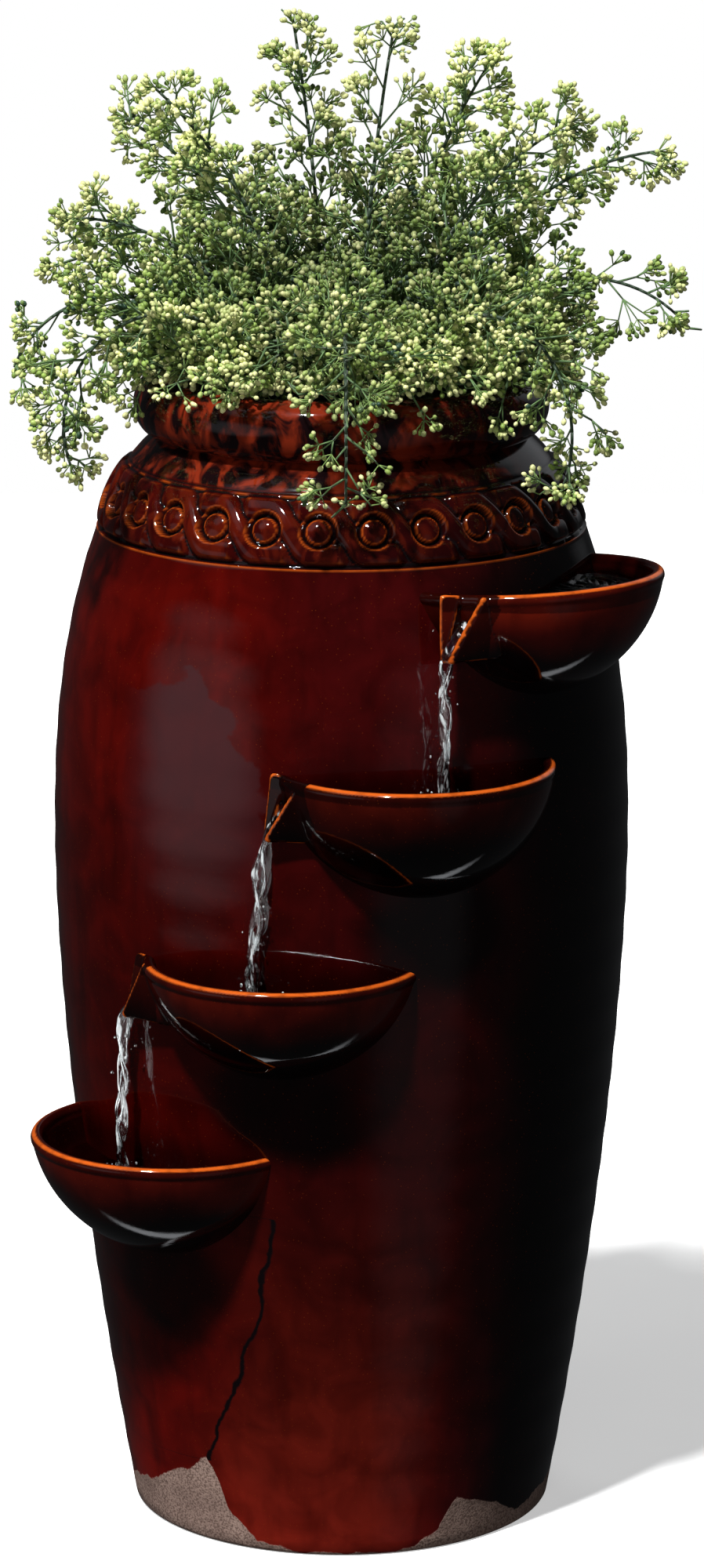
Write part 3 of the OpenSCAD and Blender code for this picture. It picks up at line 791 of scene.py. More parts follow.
def blend_colours(*layers):
    """Colours laid over each other: a first colour, then pairs of share and colour."""
    share_like = layers[1][0]
    total = np.tile(np.array(layers[0], float), (len(share_like), 1))
    for share, colour in layers[1:]:
        total += share[:, None] * (np.array(colour) - total)
    return total


def line_offset(azimuth, z, line):
    """Distance in millimetres from a line of (height, azimuth) points, to its right."""
    line = np.array(line, float)
    return (azimuth - np.interp(z, line[:, 0], line[:, 1])) * math.radians(1) * body_r(z)


# Lines on the glaze as height and azimuth, the first being the edge of the painted reflection, and the
# top of the bare clay as azimuth and height
PAINTED_REFLECTION_LINE = [(499, -14.5), (527, -13.7), (581, -16.2), (597, -19.5), (613, -21), (632, -22.2),
             (646, -28.5)]
RUN_LINE = [(72, -36), (102, -30), (136, -25), (175, -20), (212, -17.5), (262, -15)]
CLAY_EDGE = ((-180, 16), (-110, 22), (-80, 20), (-60, 34), (-43, 56), (-36, 70), (-31, 30),
             (-24, 8), (-12, 3), (20, 3), (27, 16), (31, 42), (37, 34), (44, 26), (56, 12),
             (75, 20), (110, 34), (150, 12), (180, 16))


def colour_jar(jar):
    """Stores the glaze's colours and the places of its effects on the jar, painted shade, painted
    shadows and a painted reflection among them.
    """
    points = points_of(jar)
    z = points[:, 2]
    azimuth = azimuth_of(points)
    drift = waves(points, (260, 140), SEED + 2)
    fine = waves(points, (70, 40), SEED + 3)
    # Painted shade: round azimuth 62, on the right, the tone is painted near black, as the shade away
    # from the key light
    side = np.abs((azimuth - 62 + 180) % 360 - 180)
    dark = 1 - smooth(side + 6 * drift, 14, 44)
    centre = smooth(azimuth + 10 * drift + 4 * fine, -34, 4) * (1 - smooth(azimuth, 120, 170))
    low = smooth(-z + 25 * drift, -330, -120)
    ochre = low * (1 - smooth(np.abs(azimuth + 5 + 8 * drift), 12, 40))
    tone = blend_colours(RED_GLAZE, (centre, DEEP_GLAZE), (ochre * 0.7, (0.14, 0.010, 0.0045)),
                         (dark, PAINTED_SHADE))
    height = np.interp(z, (0, 60, 160, 250, 400, 500, 590, 660, 725),
                       (2.2, 1.3, 0.65, 0.5, 0.45, 0.55, 0.8, 0.9, 0.75))
    # Painted shadow and shade: below each bowl a dark blot is painted where its shadow falls on the
    # wall, and the wall inside the bowl, behind the water, is painted darker as shade
    for i in range(4):
        across = (azimuth - BOWL_AZIMUTH[i] - 2) * math.radians(1) * body_r(z)
        under = BOWL_RIM_Z[i] - BOWL_DEPTH[i] - 16 - z
        painted_shadow_below = 1 - smooth(np.hypot(across / 66, under / 52) + 0.15 * fine, 0.55, 1.05)
        ball, middle = bowl_ball(i)
        painted_shade_behind = 1 - smooth(np.linalg.norm(points - middle, axis=1), ball - 22, ball - 4)
        painted_shade_behind *= 1 - smooth(z, BOWL_RIM_Z[i] - 12, BOWL_RIM_Z[i] + 16)
        height *= (1 - 0.8 * painted_shadow_below) * (1 - 0.6 * painted_shade_behind)
    above_ridge = smooth(z, RIDGE_Z, RIDGE_Z + 6)
    height *= 1 - 0.3 * above_ridge * (1 - smooth(z, FRIEZE_TOP[1], FRIEZE_TOP[1] + 6))
    set_colour(jar, "tone", tone * height[:, None])
    out = np.hypot(points[:, 0], points[:, 1])
    frieze = (z > RIDGE_Z - 6) & (z < FRIEZE_TOP[1] + 3)
    # Painted shade: on the right of the shoulder and frieze the tortoiseshell and the amber edges are
    # cut back, so that side reads darker
    shaded = smooth(azimuth + 6 * drift, 8, 38) * (1 - smooth(azimuth, 110, 150))
    tortoise = smooth(z, RIDGE_Z + 2, RIDGE_Z + 8) * np.where(frieze, 0.22, 0.95)
    set_value(jar, "tortoise", tortoise * (1 - 0.75 * shaded))
    bend = convexity(jar, 1)
    broken = smooth(bend, 0.045, 0.15) * (z > RIDGE_Z - 6) * (out > SEAT_R + 2)
    set_value(jar, "breaks", broken * np.where(frieze, 0.7, 1.0) * (1 - 0.5 * shaded))
    set_value(jar, "pools", smooth(-bend, 0.008, 0.055) * frieze)
    # Where the painted reflection lies: a band of azimuths on the left front, fading out lower down, its
    # edge along the listed line
    across = smooth(azimuth + 4 * drift, -52, -38) * (1 - smooth(azimuth + 5 * drift, -20, -4))
    set_value(jar, "painted_reflection", across * (0.75 - 0.72 * smooth(-z, -590, -460)))
    set_value(jar, "painted_reflection_edge", np.minimum(-line_offset(azimuth, z, PAINTED_REFLECTION_LINE), 645 - z))
    run = line_offset(azimuth, z, RUN_LINE)
    set_value(jar, "run", np.where((z > 60) & (z < 268), run, 99))
    edge = np.interp(azimuth, *zip(*CLAY_EDGE))
    inside = out < body_r(np.clip(z, 0, RIDGE_Z)) - 6
    set_value(jar, "clay", np.where(inside & (z < RIDGE_Z), 30, edge - z))
    return jar


# ---- Bowls ----

def bowl_point(i, x, y, z):
    """A point given in a bowl's own frame, in the jar's frame."""
    tilt = math.radians(-BOWL_TILT[i])
    y, z = y * math.cos(tilt) - z * math.sin(tilt), y * math.sin(tilt) + z * math.cos(tilt)
    a = math.radians(BOWL_AZIMUTH[i])
    y = y - BOWL_REACH[i]
    return np.array([x * math.cos(a) - y * math.sin(a), x * math.sin(a) + y * math.cos(a),
                     BOWL_RIM_Z[i] + z])


def bowl_ball(i):
    """Radius of the ball that a bowl is part of, and its middle in the jar's frame."""
    radius = (BOWL_R[i] ** 2 + BOWL_DEPTH[i] ** 2) / (2 * BOWL_DEPTH[i])
    return radius, bowl_point(i, 0, 0, radius - BOWL_DEPTH[i])


def in_bowl_frame(i, points):
    """Points of the jar's frame in a bowl's own frame."""
    origin = bowl_point(i, 0, 0, 0)
    axes = np.stack([bowl_point(i, *axis) - origin for axis in np.eye(3)], 1)
    return (points - origin) @ axes


def jar_core(inset):
    """A closed copy of the jar's body, drawn in by an inset, for cutting the bowls."""
    heights = np.linspace(60, RIDGE_Z + 70, 90)
    neck = RIDGE_R - (heights - RIDGE_Z) * 0.49
    radii = np.where(heights < RIDGE_Z, body_r(np.minimum(heights, RIDGE_Z)), neck)
    points, faces = stitch([ring(r - inset, z, COLUMNS) for r, z in zip(radii, heights)])
    return new_object("core", points, faces)


def spout_pieces(i):
    """The folded pouring lip: an ear on the wall, a front flap, and the chute between them.

    The open channel that part.scad cuts through the rim here is missing from these bowls.
    """
    ear = ((-103, -11, -1), (-96, -18, -2), (-109, -14, -42))
    flap = ((-91, -37, -3), (-110, -22, -42), (-76, -33, -44), (-84, -30, -20))
    chute = ((-109, -14, -43), (-110, -22, -43), (-90, -14, -22), (-86, -27, -22), (-80, -20, -44))
    return [hull([bowl_point(i, *p) for p in points], radius)
            for points, radius in ((ear, 2.4), (flap, 2.5), (chute, 2.6))]


def make_bowl(i, material):
    """A half bowl fused to the jar, with a rolled rim."""
    radius, _ = bowl_ball(i)
    mid = radius - BOWL_DEPTH[i]
    bead_turn = np.radians(np.arange(-35, 216, 12))
    bead = np.stack([BOWL_R[i] - BOWL_BEAD + BOWL_BEAD * np.cos(bead_turn),
                     -BOWL_BEAD + BOWL_BEAD * np.sin(bead_turn)], 1)

    def arc(ball, top, bottom_to_top):
        """The outline of a ball from near its foot up to a height."""
        end = math.acos(min(1, (mid - top) / ball))
        turn = np.linspace(math.radians(3), end, 40)
        line = np.stack([ball * np.sin(turn), mid - ball * np.cos(turn)], 1)
        return line if bottom_to_top else line[::-1]

    line = np.concatenate([arc(radius, -BOWL_BEAD * 1.7, True), bead,
                           arc(radius - BOWL_WALL, -BOWL_BEAD * 1.7, False)])
    rings = []
    for r, z in line:
        flat = ring(r, z, 128)
        rings.append(np.stack([bowl_point(i, *p) for p in flat]))
    points, faces = stitch(rings)
    bowl = new_object(BOWL_NODES[i] + "_glazed", points, faces)
    if i < 3:
        bowl = joined([bowl, *spout_pieces(i)])
    remeshed(bowl, FINE_STEP)
    cut(bowl, [jar_core(BOWL_SINK)])
    softened(bowl, 5)
    paint(bowl, material)
    points = points_of(bowl)
    points += 0.35 * waves(points, (90, 60), SEED + 20 + i)[:, None] * np.array([1, 1, 0.3])
    set_points(bowl, points)
    return colour_bowl(i, bowl)


def colour_bowl(i, bowl):
    """Stores the glaze's colours and the places of its effects on a bowl, with painted light on its top
    and left and painted shade below and inside.
    """
    points = points_of(bowl)
    ball, centre = bowl_ball(i)
    out = np.linalg.norm(points - centre, axis=1)
    below = BOWL_RIM_Z[i] - points[:, 2]
    drift = waves(points, (90, 55), SEED + 30 + i)
    # Painted light and shade: the inside, under the water, and the lower half outside are painted near
    # black as shade, and the top and left outside are painted lighter, as lit from the upper left
    inner = 1 - smooth(out, ball - BOWL_WALL + 1, ball - BOWL_WALL + 3)
    black = smooth(below + 9 * drift, 24, 50) * (1 - inner)
    upper = 1 - smooth(below + 5 * drift, 4, 30)
    x, y, up = in_bowl_frame(i, points).T
    left = 1 - smooth(x + 20 * drift, -50, 30)
    bead = smooth(np.hypot(x, y), BOWL_R[i] - 12, BOWL_R[i] - 9) * (below < 9)
    tone = blend_colours((0.060, 0.0035, 0.002), (upper * (0.35 + 0.4 * left), (0.15, 0.010, 0.003)),
                         (inner, (0.008, 0.0006, 0.0004)), (black, (0.004, 0.0018, 0.002)),
                         (bead * 0.75, (0.020, 0.0012, 0.0008)))
    spout = (x < -84) & (y > -46) & (up > -56) & (i < 3)
    # Each bowl's tone is scaled by its painted light; the spout is darker
    tone *= BOWL_PAINTED_LIGHT[i] * np.where(spout, 0.3, 1.0)[:, None]
    set_colour(bowl, "tone", tone)
    bend = convexity(bowl, 3)
    bead_out, bead_up = np.hypot(x, y) - (BOWL_R[i] - BOWL_BEAD), up + BOWL_BEAD
    turn = np.degrees(np.arctan2(bead_up, bead_out))
    crest = smooth(turn, 30, 44) * (1 - smooth(turn, 68, 84)) * (np.hypot(bead_out, bead_up) > 2.5)
    crest = np.where(spout, smooth(bend, 0.078, 0.12), crest * (up > -BOWL_BEAD))
    set_value(bowl, "breaks", crest)
    set_value(bowl, "pools", smooth(-bend, 0.03, 0.10) * 0.8)
    set_value(bowl, "run", np.full(len(points), 99.0))
    set_value(bowl, "clay", np.full(len(points), -99.0))
    return bowl


# ---- Water ----

def stream_path(i):
    """The way of the water from bowl i's chute down to the next pool, and its landing point."""
    starts = ((-78, -24, -WATER_DROP[i] - 2.5), (-88, -23, -20), (-98, -20, -30),
              (-108, -18, -40), (-113, -17.5, -52))
    points = [bowl_point(i, *p) for p in starts]
    level = BOWL_RIM_Z[i + 1] - WATER_DROP[i + 1]
    last = points[-1]
    drift = (0, -8, -2)[i]
    for share in np.linspace(0.15, 1, 9):
        fall = (level - 2 - last[2]) * share
        points.append(np.array([last[0] + drift * share ** 0.8, last[1], last[2] + fall]))
    return np.array(points), np.array([last[0] + drift, last[1], level])


def tube(path, widths, turns, sides=14):
    """A closed tube along a path, with elliptical sections that turn on the way."""
    way = np.gradient(path, axis=0)
    way /= np.linalg.norm(way, axis=1, keepdims=True)
    rings = []
    for place, along, (a, b), turn in zip(path, way, widths, turns):
        side = np.cross(along, (0, -1, 0.2))
        side /= np.linalg.norm(side)
        front = np.cross(side, along)
        angle = np.arange(sides) * 2 * math.pi / sides
        x, y = a * np.cos(angle), b * np.sin(angle)
        u = x * math.cos(turn) - y * math.sin(turn)
        v = x * math.sin(turn) + y * math.cos(turn)
        rings.append(place + u[:, None] * side + v[:, None] * front)
    return stitch(rings)


def merged(parts):
    """Points and faces of several closed skins, as one."""
    points, faces, start = [], {}, 0
    for p, groups in parts:
        points.append(p)
        for f in groups:
            faces.setdefault(f.shape[1], []).append(f + start)
        start += len(p)
    return np.concatenate(points), [np.concatenate(f) for f in faces.values()]


def make_stream(i, material):
    """The water falling from bowl i, with its drops, and where it lands."""
    rng = np.random.default_rng(SEED + 40 + i)
    path, landing = stream_path(i)
    path = resample(rounded(path, 3), 1.6)
    count = len(path)
    t = np.linspace(0, 1, count)
    fall = smooth(t, 0.12, 0.34)
    links = 3.4 + i * 0.6
    beat = np.abs(np.cos(math.pi * links * t + i))
    wide = (6.5 * (1 - fall) + fall * (1.8 + 3.4 * beat)) * (1 + 0.12 * np.sin(t * 37 + i * 2))
    thin = 1.5 * (1 - fall) + fall * (1.7 - 0.9 * beat)
    turns = fall * (np.sin(t * 9 + i * 1.7) * 0.7)
    parts = [tube(path, np.stack([wide, thin], 1), turns)]
    for k, (phase, reach, radius) in enumerate(((0.0, 4.6, 1.5), (3.1, 4.8, 1.3), (1.7, 3.0, 1.1))):
        swing = fall * reach * (0.6 + 0.4 * beat)
        angle = t * (11 + 2 * k) + phase + i
        strand = path + np.stack([swing * np.cos(angle), swing * 0.5 * np.sin(angle), 0 * t], 1)
        thick = radius * (0.75 + 0.35 * np.sin(t * 41 + phase * 3)) * np.maximum(fall, 0.25)
        part = slice(int(count * 0.22), count - k * 6)
        parts.append(tube(strand[part], np.stack([thick, thick], 1)[part], turns[part], 8))
    drops = []
    for _ in range(16):
        share = rng.uniform(0.35, 1)
        at = path[int(share * (count - 1))] + rng.normal(0, 4.5, 3) * np.array([1, 0.8, 1])
        drops.append((at, rng.uniform(0.5, 1.2)))
    for _ in range(26):
        angle, reach = rng.uniform(0, 6.283), rng.uniform(5, 26)
        lift = rng.uniform(1, 15) * (1 - reach / 30)
        at = landing + np.array([math.cos(angle) * reach, math.sin(angle) * reach * 0.8, 1.2 + lift])
        if np.hypot(at[0], at[1]) > body_r(at[2]) + 3:
            drops.append((at, rng.uniform(0.4, 1.3)))
    centres = np.array([d[0] for d in drops])
    sizes = np.array([[d[1], d[1], d[1] * 1.35] for d in drops])
    parts.append(balls(centres, np.tile([0.0, 0, 1], (len(drops), 1)), sizes))
    points, faces = merged(parts)
    return new_object(("top", "second", "third")[i] + "_falling_water", points, faces, material), landing


def make_pool(i, material, landings):
    """The water standing in a bowl: a slice of the ball inside it, rippled on top."""
    ball, centre = bowl_ball(i)
    inside = ball - BOWL_WALL + 0.4
    level = BOWL_RIM_Z[i] - WATER_DROP[i]
    reach = math.sqrt(inside ** 2 - (centre[2] - level) ** 2)
    top = [ring(r, 0, 144) + [centre[0], centre[1], level] for r in np.linspace(reach, 1.5, 74)]
    depths = np.linspace(centre[2] - inside + 0.5, level, 26)[:-1]
    under = [ring(math.sqrt(inside ** 2 - (centre[2] - z) ** 2), 0, 144) + [centre[0], centre[1], z]
             for z in depths]
    points, faces = stitch(under + top)
    surface = np.abs(points[:, 2] - level) < 0.01
    lift = 0.55 * waves(points, (22, 13, 8), SEED + 50 + i)
    for place, strength in landings:
        gap = np.hypot(points[:, 0] - place[0], points[:, 1] - place[1])
        rings_out = np.cos(gap * 0.95) * np.exp(-gap / 21) * 2.0
        lift += strength * (rings_out * smooth(gap, 1, 6) + 2.2 * np.exp(-(gap / 4.5) ** 2))
    edge = np.hypot(points[:, 0] - centre[0], points[:, 1] - centre[1])
    points[:, 2] += surface * lift * (1 - smooth(edge, reach - 5, reach))
    pool = new_object(BOWL_NODES[i].replace("bowl", "pool"), points, faces)
    cut(pool, [jar_core(0.4)])
    paint(pool, material)
    return pool


# ---- Planting ----

def ball_template():
    """A ball of unit radius with 18 points: an octahedron with its edges split."""
    corners = np.array([[1, 0, 0], [-1, 0, 0], [0, 1, 0], [0, -1, 0], [0, 0, 1], [0, 0, -1]], float)
    faces = [(0, 2, 4), (2, 1, 4), (1, 3, 4), (3, 0, 4), (2, 0, 5), (1, 2, 5), (3, 1, 5), (0, 3, 5)]
    points, index, made = list(corners), {}, []
    for face in faces:
        mids = []
        for a, b in ((0, 1), (1, 2), (2, 0)):
            key = frozenset((face[a], face[b]))
            if key not in index:
                index[key] = len(points)
                mid = corners[face[a]] + corners[face[b]]
                points.append(mid / np.linalg.norm(mid))
            mids.append(index[key])
        made += [(face[0], mids[0], mids[2]), (face[1], mids[1], mids[0]),
                 (face[2], mids[2], mids[1]), tuple(mids)]
    return np.array(points), np.array(made)


BALL_POINTS, BALL_FACES = ball_template()


def frames_along(ways):
    """Two unit vectors square to each way."""
    ways = ways / np.linalg.norm(ways, axis=1, keepdims=True)
    helper = np.where(np.abs(ways[:, 2:3]) < 0.9, [[0, 0, 1.0]], [[1.0, 0, 0]])
    side = np.cross(ways, helper)
    side /= np.linalg.norm(side, axis=1, keepdims=True)
    return ways, side, np.cross(ways, side)


def balls(centres, ways, sizes):
    """Ellipsoids at centres, with their third size along each way."""
    along, side, other = frames_along(np.asarray(ways, float))
    scaled = BALL_POINTS[None] * np.asarray(sizes)[:, None, :]
    points = (centres[:, None] + scaled[..., 0:1] * side[:, None] + scaled[..., 1:2] * other[:, None]
              + scaled[..., 2:3] * along[:, None])
    flip = BALL_FACES[:, ::-1]
    faces = flip[None] + (np.arange(len(centres)) * len(BALL_POINTS))[:, None, None]
    return points.reshape(-1, 3), [faces.reshape(-1, 3)]


def rods(starts, ends, radii, sides=4):
    """Closed tapered rods from starts to ends, with radii at both ends."""
    _, side, other = frames_along(ends - starts)
    angle = np.arange(sides) * 2 * math.pi / sides
    spoke = np.cos(angle)[None, :, None] * side[:, None] + np.sin(angle)[None, :, None] * other[:, None]
    low = starts[:, None] + spoke * radii[:, 0][:, None, None]
    high = ends[:, None] + spoke * radii[:, 1][:, None, None]
    points = np.concatenate([low, high], 1)
    k = np.arange(sides)
    j = (k + 1) % sides
    wall = np.stack([k, j, sides + j, sides + k], 1)[:, ::-1]
    base = (np.arange(len(starts)) * 2 * sides)[:, None, None]
    caps = np.stack([k, k + sides])
    caps[1] = caps[1][::-1]
    return points.reshape(-1, 3), [(wall[None] + base).reshape(-1, 4),
                                   (caps[None] + base).reshape(-1, sides)]


def stem_point(n, share):
    """A point on a spray's main stem, from where it leaves the foam to its tip."""
    root, tip = np.array(SPRAY_ROOTS[n], float), np.array(SPRAY_TIPS[n], float)
    bend_z = FOAM_Z + 5
    gap = tip[:2] - root
    across, rise = np.linalg.norm(gap), tip[2] - bend_z
    turn = 2 * math.atan2(across, rise)
    radius = rise / math.sin(turn)
    a = turn * share
    return np.array([*(root + gap / across * radius * (1 - math.cos(a))), bend_z + radius * math.sin(a)])


PALE = np.array((0.90, 0.90, 0.42))
MID = np.array((0.26, 0.38, 0.07))
DEEP = np.array((0.018, 0.058, 0.030))
STEM = np.array((0.030, 0.060, 0.030))
TWIG = np.array((0.13, 0.24, 0.08))


PLANT_BOXES = [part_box(f"spray_{n + 1:02d}") for n in range(len(SPRAY_TIPS))]
PLANT_LOW = np.min([[c / MM for c in low] for low, _ in PLANT_BOXES], 0)
PLANT_HIGH = np.max([[c / MM for c in high] for _, high in PLANT_BOXES], 0)
GOLDEN_ANGLE = 2.399963


def outside_plant(point):
    """Whether a point is outside the planting's box, or inside the jar's lip."""
    out = math.hypot(point[0], point[1])
    in_lip = point[2] < LIP_Z + LIP_HALF_H + 3 and out > SEAT_R - 8 and out < LIP_R + LIP_HALF_W + 4
    return bool((point < PLANT_LOW + 6).any() or (point > PLANT_HIGH - 12).any() or in_lip)


def open_to_light(point):
    """How far out of the planting's shaded middle a point is, from 0 to 1."""
    return float(smooth(np.linalg.norm((point - np.array((0, 0, LIP_Z + 30))) * (1, 1, 0.8)), 70, 190))


def make_spray(n, material):
    """One artificial stonecrop spray: a stem, side twigs, and heads of small buds."""
    rng = np.random.default_rng(SEED + 100 + n)
    stem = np.array([stem_point(n, s) for s in np.linspace(0, 1, 36)])
    stem = np.concatenate([[stem[0] - [0, 0, 5 + STEM_DEPTH]], [stem[0] - [0, 0, 5]], stem])
    light = rng.uniform(0.82, 1.15)
    starts, ends, radii, tones = [], [], [], []
    buds, ways, sizes, bud_tones = [], [], [], []

    def rod(a, b, r0, r1, tone):
        """A straight piece of stem or twig."""
        starts.append(a)
        ends.append(b)
        radii.append((r0, r1))
        tones.append(tone)

    while len(stem) > 12 and outside_plant(stem[-1]):
        stem = stem[:-1]
    for k in range(len(stem) - 1):
        thick = STEM_R * (1.0 - 0.55 * k / len(stem))
        rod(stem[k], stem[k + 1], thick, thick, STEM)

    def head(place, way, ripe, count, spread):
        """A flat-topped head of buds on thin stalks."""
        for _ in range(count):
            lean = rng.normal(0, spread, 3)
            out = way + lean
            out /= np.linalg.norm(out)
            reach = rng.uniform(6, 11)
            end = place + out * reach
            if outside_plant(end):
                continue
            rod(place, end, 0.45, 0.5, TWIG * 0.5 + MID * 0.5)
            size = rng.uniform(1.55, 2.15)
            buds.append(end + out * size * 0.9)
            ways.append(out)
            sizes.append((size, size, size * rng.uniform(1.2, 1.5)))
            shade = ripe + rng.normal(0, 0.15)
            tone = (DEEP + (MID - DEEP) * np.clip(shade * 2, 0, 1)
                    + (PALE - MID) * np.clip(shade * 2 - 1, 0, 1))
            # Painted shade: buds in the planting's middle are darkened, by how far they are from open
            # light
            bud_tones.append(tone * light * (0.55 + 0.6 * open_to_light(end)) * rng.uniform(0.88, 1.1))

    def twig(place, way, length, ripe):
        """A twig that forks into several heads."""
        bend = place + way * length * 0.55
        rod(place, bend, 0.95, 0.75, STEM * 0.4 + TWIG * 0.6)
        for _ in range(rng.integers(3, 6)):
            out = way + rng.normal(0, 0.42, 3)
            out /= np.linalg.norm(out)
            end = bend + out * length * rng.uniform(0.3, 0.5)
            if outside_plant(end):
                continue
            rod(bend, end, 0.65, 0.5, TWIG)
            head(end, out, ripe + rng.normal(0, 0.22), rng.integers(5, 9), 0.55)

    length = np.linalg.norm(np.diff(stem, axis=0), axis=1).sum()
    count = int(length / 7.5)
    for k in range(count):
        share = 0.05 + 0.93 * ((k + 0.5) / count) ** 1.15
        if share > 0.45 and rng.random() < 0.25:
            continue
        place = stem_point(n, share)
        along = stem_point(n, min(1, share + 0.01)) - stem_point(n, share - 0.01)
        along /= np.linalg.norm(along)
        _, side, other = (v[0] for v in frames_along(along[None]))
        turn = k * GOLDEN_ANGLE + n
        out = side * math.cos(turn) + other * math.sin(turn)
        way = along * 0.75 + out * 0.8 + np.array([0, 0, 0.12])
        way /= np.linalg.norm(way)
        reach = (64 - 42 * share) * rng.uniform(0.65, 1.15)
        twig(place, way, reach, 0.25 + 0.6 * share + 0.1 * way[2])
    for k in range(9):
        turn = k * GOLDEN_ANGLE + n * 1.3
        out = np.array([math.sin(turn), -math.cos(turn), 0])
        near = stem_point(n, rng.uniform(0.06, 0.26))
        near[2] = max(near[2], LIP_Z + LIP_HALF_H + 8)
        reach = rng.uniform(85, 150) - near[:2] @ out[:2]
        if reach < 30:
            continue
        line = [near]
        for step in (0.3, 0.6, 0.85, 1.0):
            sag = np.array([0, 0, 14 * step - 30 * max(0, step - 0.6)])
            line.append(near + out * reach * step + sag)
            rod(line[-2], line[-1], 1.05 - 0.3 * step, 0.9 - 0.3 * step, STEM * 0.4 + TWIG * 0.6)
            droop = out * 0.8 + np.array([0, 0, 0.5 - 0.5 * step]) + rng.normal(0, 0.5, 3)
            twig(line[-1], droop / np.linalg.norm(droop), rng.uniform(24, 40), 0.35 + 0.45 * step)
    tip_way = stem[-1] - stem[-2]
    tip_way /= np.linalg.norm(tip_way)
    head(stem[-1] - tip_way * 3, tip_way, 0.9, 12, 0.6)

    buds_made = balls(np.array(buds), np.array(ways), np.array(sizes))
    rods_made = rods(np.array(starts), np.array(ends), np.array(radii))
    points, faces = merged([rods_made, buds_made])
    tone = np.concatenate([np.repeat(np.array(tones), 8, 0),
                           np.repeat(np.array(bud_tones), len(BALL_POINTS), 0)])
    spray = new_object(f"foliage_{n + 1:02d}", points, faces, material)
    set_colour(spray, "tone", tone)
    return spray


def make_foam(material):
    """The floral foam in the pan, with a crumbled top."""
    low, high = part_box("foam_block")
    bottom, top = low.z / MM, high.z / MM
    radius_top = high.x / MM
    radius_low = radius_top - 14
    side = resample([(radius_low, bottom), (radius_top - 1, top - 3)], 5)
    over = resample([(radius_top - 2.5, top - 1), (2, top)], 3)
    rings = [ring(r, z, 120) for r, z in np.concatenate([side, over])]
    points, faces = stitch(rings)
    crumble = waves(points, (17, 9, 5), SEED + 60)
    upper = smooth(points[:, 2], top - 6, top - 1)
    points[:, 2] -= upper * (1.6 + 1.5 * crumble)
    return new_object("crumbled_foam", points, faces, material)


def make_sponge(material):
    """The filter sponge, with soft corners and a torn skin."""
    low, high = (np.array(corner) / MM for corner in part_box("filter_sponge"))
    box = bmesh.new()
    bmesh.ops.create_cube(box, size=1)
    for v in box.verts:
        v.co = Vector(((low + high) / 2 + np.array(v.co) * (high - low)) * MM)
    mesh = bpy.data.meshes.new("sponge")
    box.to_mesh(mesh)
    box.free()
    sponge = softened(remeshed(linked("porous_filter_sponge", mesh), 0.7), 4)
    points = points_of(sponge)
    middle = (low + high) / 2
    points = middle + (points - middle) * (1 - 0.02 * (1 + waves(points, (5, 3), SEED + 70)[:, None]))
    set_points(sponge, points)
    paint(sponge, material)
    return sponge


# ---- Everything together ----

def place(piece, body, node, slot):
    """Puts a piece on its body and hides the CAD node it replaces. The slot argument is not used."""
    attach(piece, body)
    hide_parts(node)


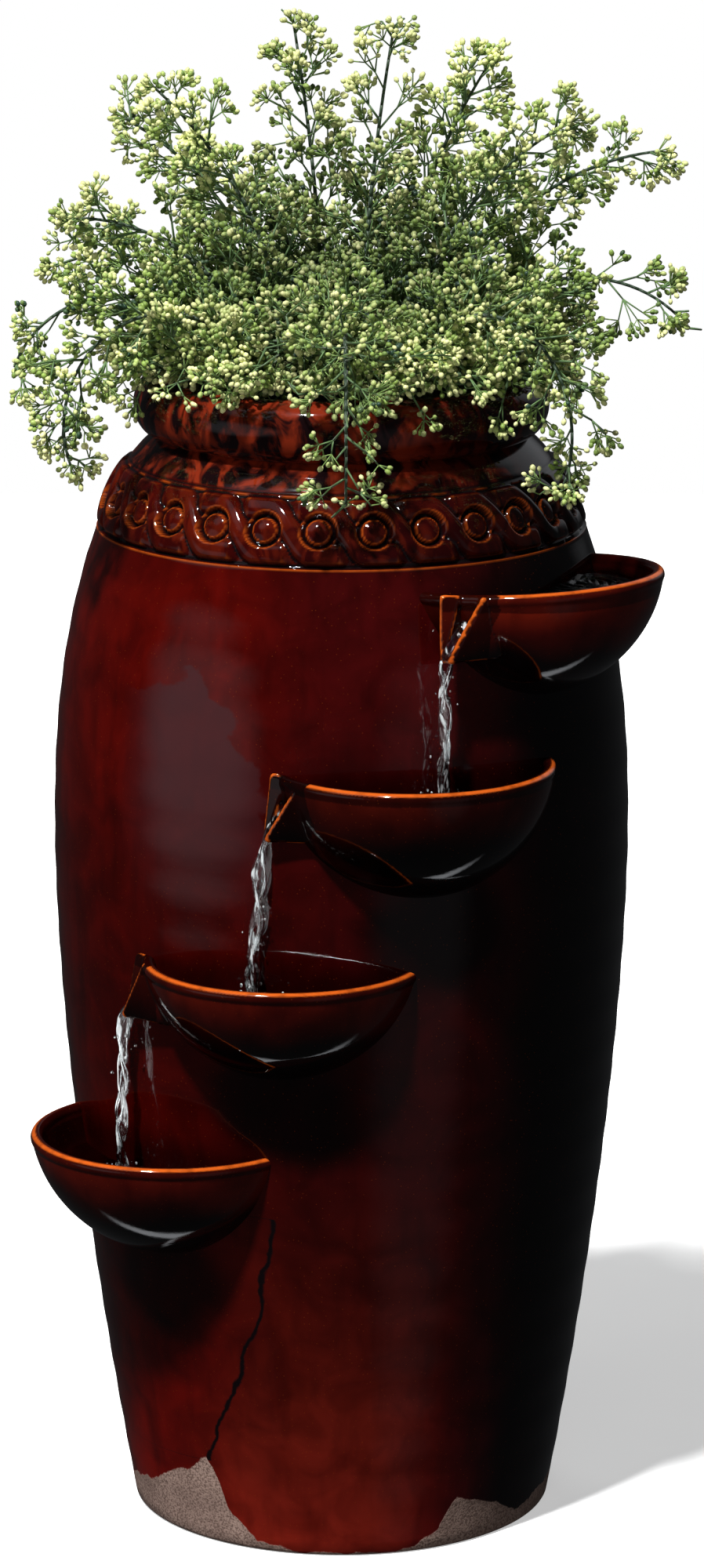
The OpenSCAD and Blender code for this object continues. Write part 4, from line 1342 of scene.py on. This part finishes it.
def finish_cad_nodes():
    """Gives each CAD node that stays its own material."""
    rubber = moulded("black_rubber", (0.012, 0.012, 0.013), 0.62, 1.4, 0.08)
    black = moulded("black_plastic", (0.018, 0.018, 0.020), 0.38)
    finishes = {
        "outlet_grommet": rubber, "return_grommet": rubber, "lead_gland": rubber,
        "drain_plug": rubber, "pump_gland": rubber, "suction_cups": rubber,
        "outlet_elbow": black, "return_strainer": black,
        "supply_hose": moulded("hose_vinyl", (0.05, 0.06, 0.06), 0.30, 2.5, 0.06),
        "hose_clips": metal("clip_steel", (0.62, 0.62, 0.63), 0.28),
        "pump_screws": metal("screw_steel", (0.55, 0.55, 0.56), 0.25, (8, 1, 8)),
        "pump_housing": moulded("pump_plastic", (0.022, 0.024, 0.030), 0.42),
        "volute_cover": moulded("cover_plastic", (0.026, 0.028, 0.034), 0.40),
        "intake_cover": moulded("intake_plastic", (0.030, 0.032, 0.040), 0.40),
        "rotor_magnet": moulded("magnet_ferrite", (0.045, 0.043, 0.042), 0.55, 0.6, 0.04),
        "impeller": moulded("impeller_plastic", (0.75, 0.75, 0.72), 0.35),
        "rotor_shaft": moulded("shaft_ceramic", (0.82, 0.81, 0.78), 0.18, 0.5, 0.01),
        "shaft_bushes": rubber,
        "flow_dial": moulded("dial_plastic", (0.35, 0.36, 0.37), 0.38),
        "planter_pan": moulded("pan_plastic", (0.030, 0.045, 0.030), 0.45, 1.2, 0.06),
    }
    for name, material in finishes.items():
        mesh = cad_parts[name].data
        mesh.materials.clear()
        mesh.materials.append(material)


def build():
    """Makes the whole scene."""
    make_camera()
    make_studio()
    make_floor()
    finish_cad_nodes()
    jar_glaze = glaze("jar_glaze", True)
    bowl_glaze = glaze("bowl_glaze", False)
    pool_water = water_finish("pool_water", 14, 0.0)
    falling_water = water_finish("falling_water", 4, 0.6)
    place(colour_jar(make_jar(jar_glaze)), "jar", "jar_body", "jar_glaze")
    for i, node in enumerate(BOWL_NODES):
        place(make_bowl(i, bowl_glaze), "jar", node, "bowl_glaze")
    outlet = np.array([math.sin(math.radians(62)), -math.cos(math.radians(62))]) * 196
    landings = [[((outlet[0], outlet[1]), 1.3)]]
    for i in range(3):
        stream, landing = make_stream(i, falling_water)
        place(stream, "jar", ("top", "second", "third")[i] + "_stream", "falling_water")
        landings.append([(landing, 1.0)])
    for i, node in enumerate(BOWL_NODES):
        place(make_pool(i, pool_water, landings[i]), "jar", node.replace("bowl", "water"), "water")
    foliage = foliage_finish()
    for n in range(len(SPRAY_TIPS)):
        place(make_spray(n, foliage), "planter", f"spray_{n + 1:02d}", "foliage")
    foam = porous("floral_foam", (0.10, 0.13, 0.05), (0.025, 0.035, 0.015), 2.2)
    sponge = porous("filter_foam", (0.05, 0.055, 0.06), (0.010, 0.011, 0.013), 1.3)
    place(make_foam(foam), "planter", "foam_block", "floral_foam")
    place(make_sponge(sponge), "intake_cover", "filter_sponge", "sponge")


build()
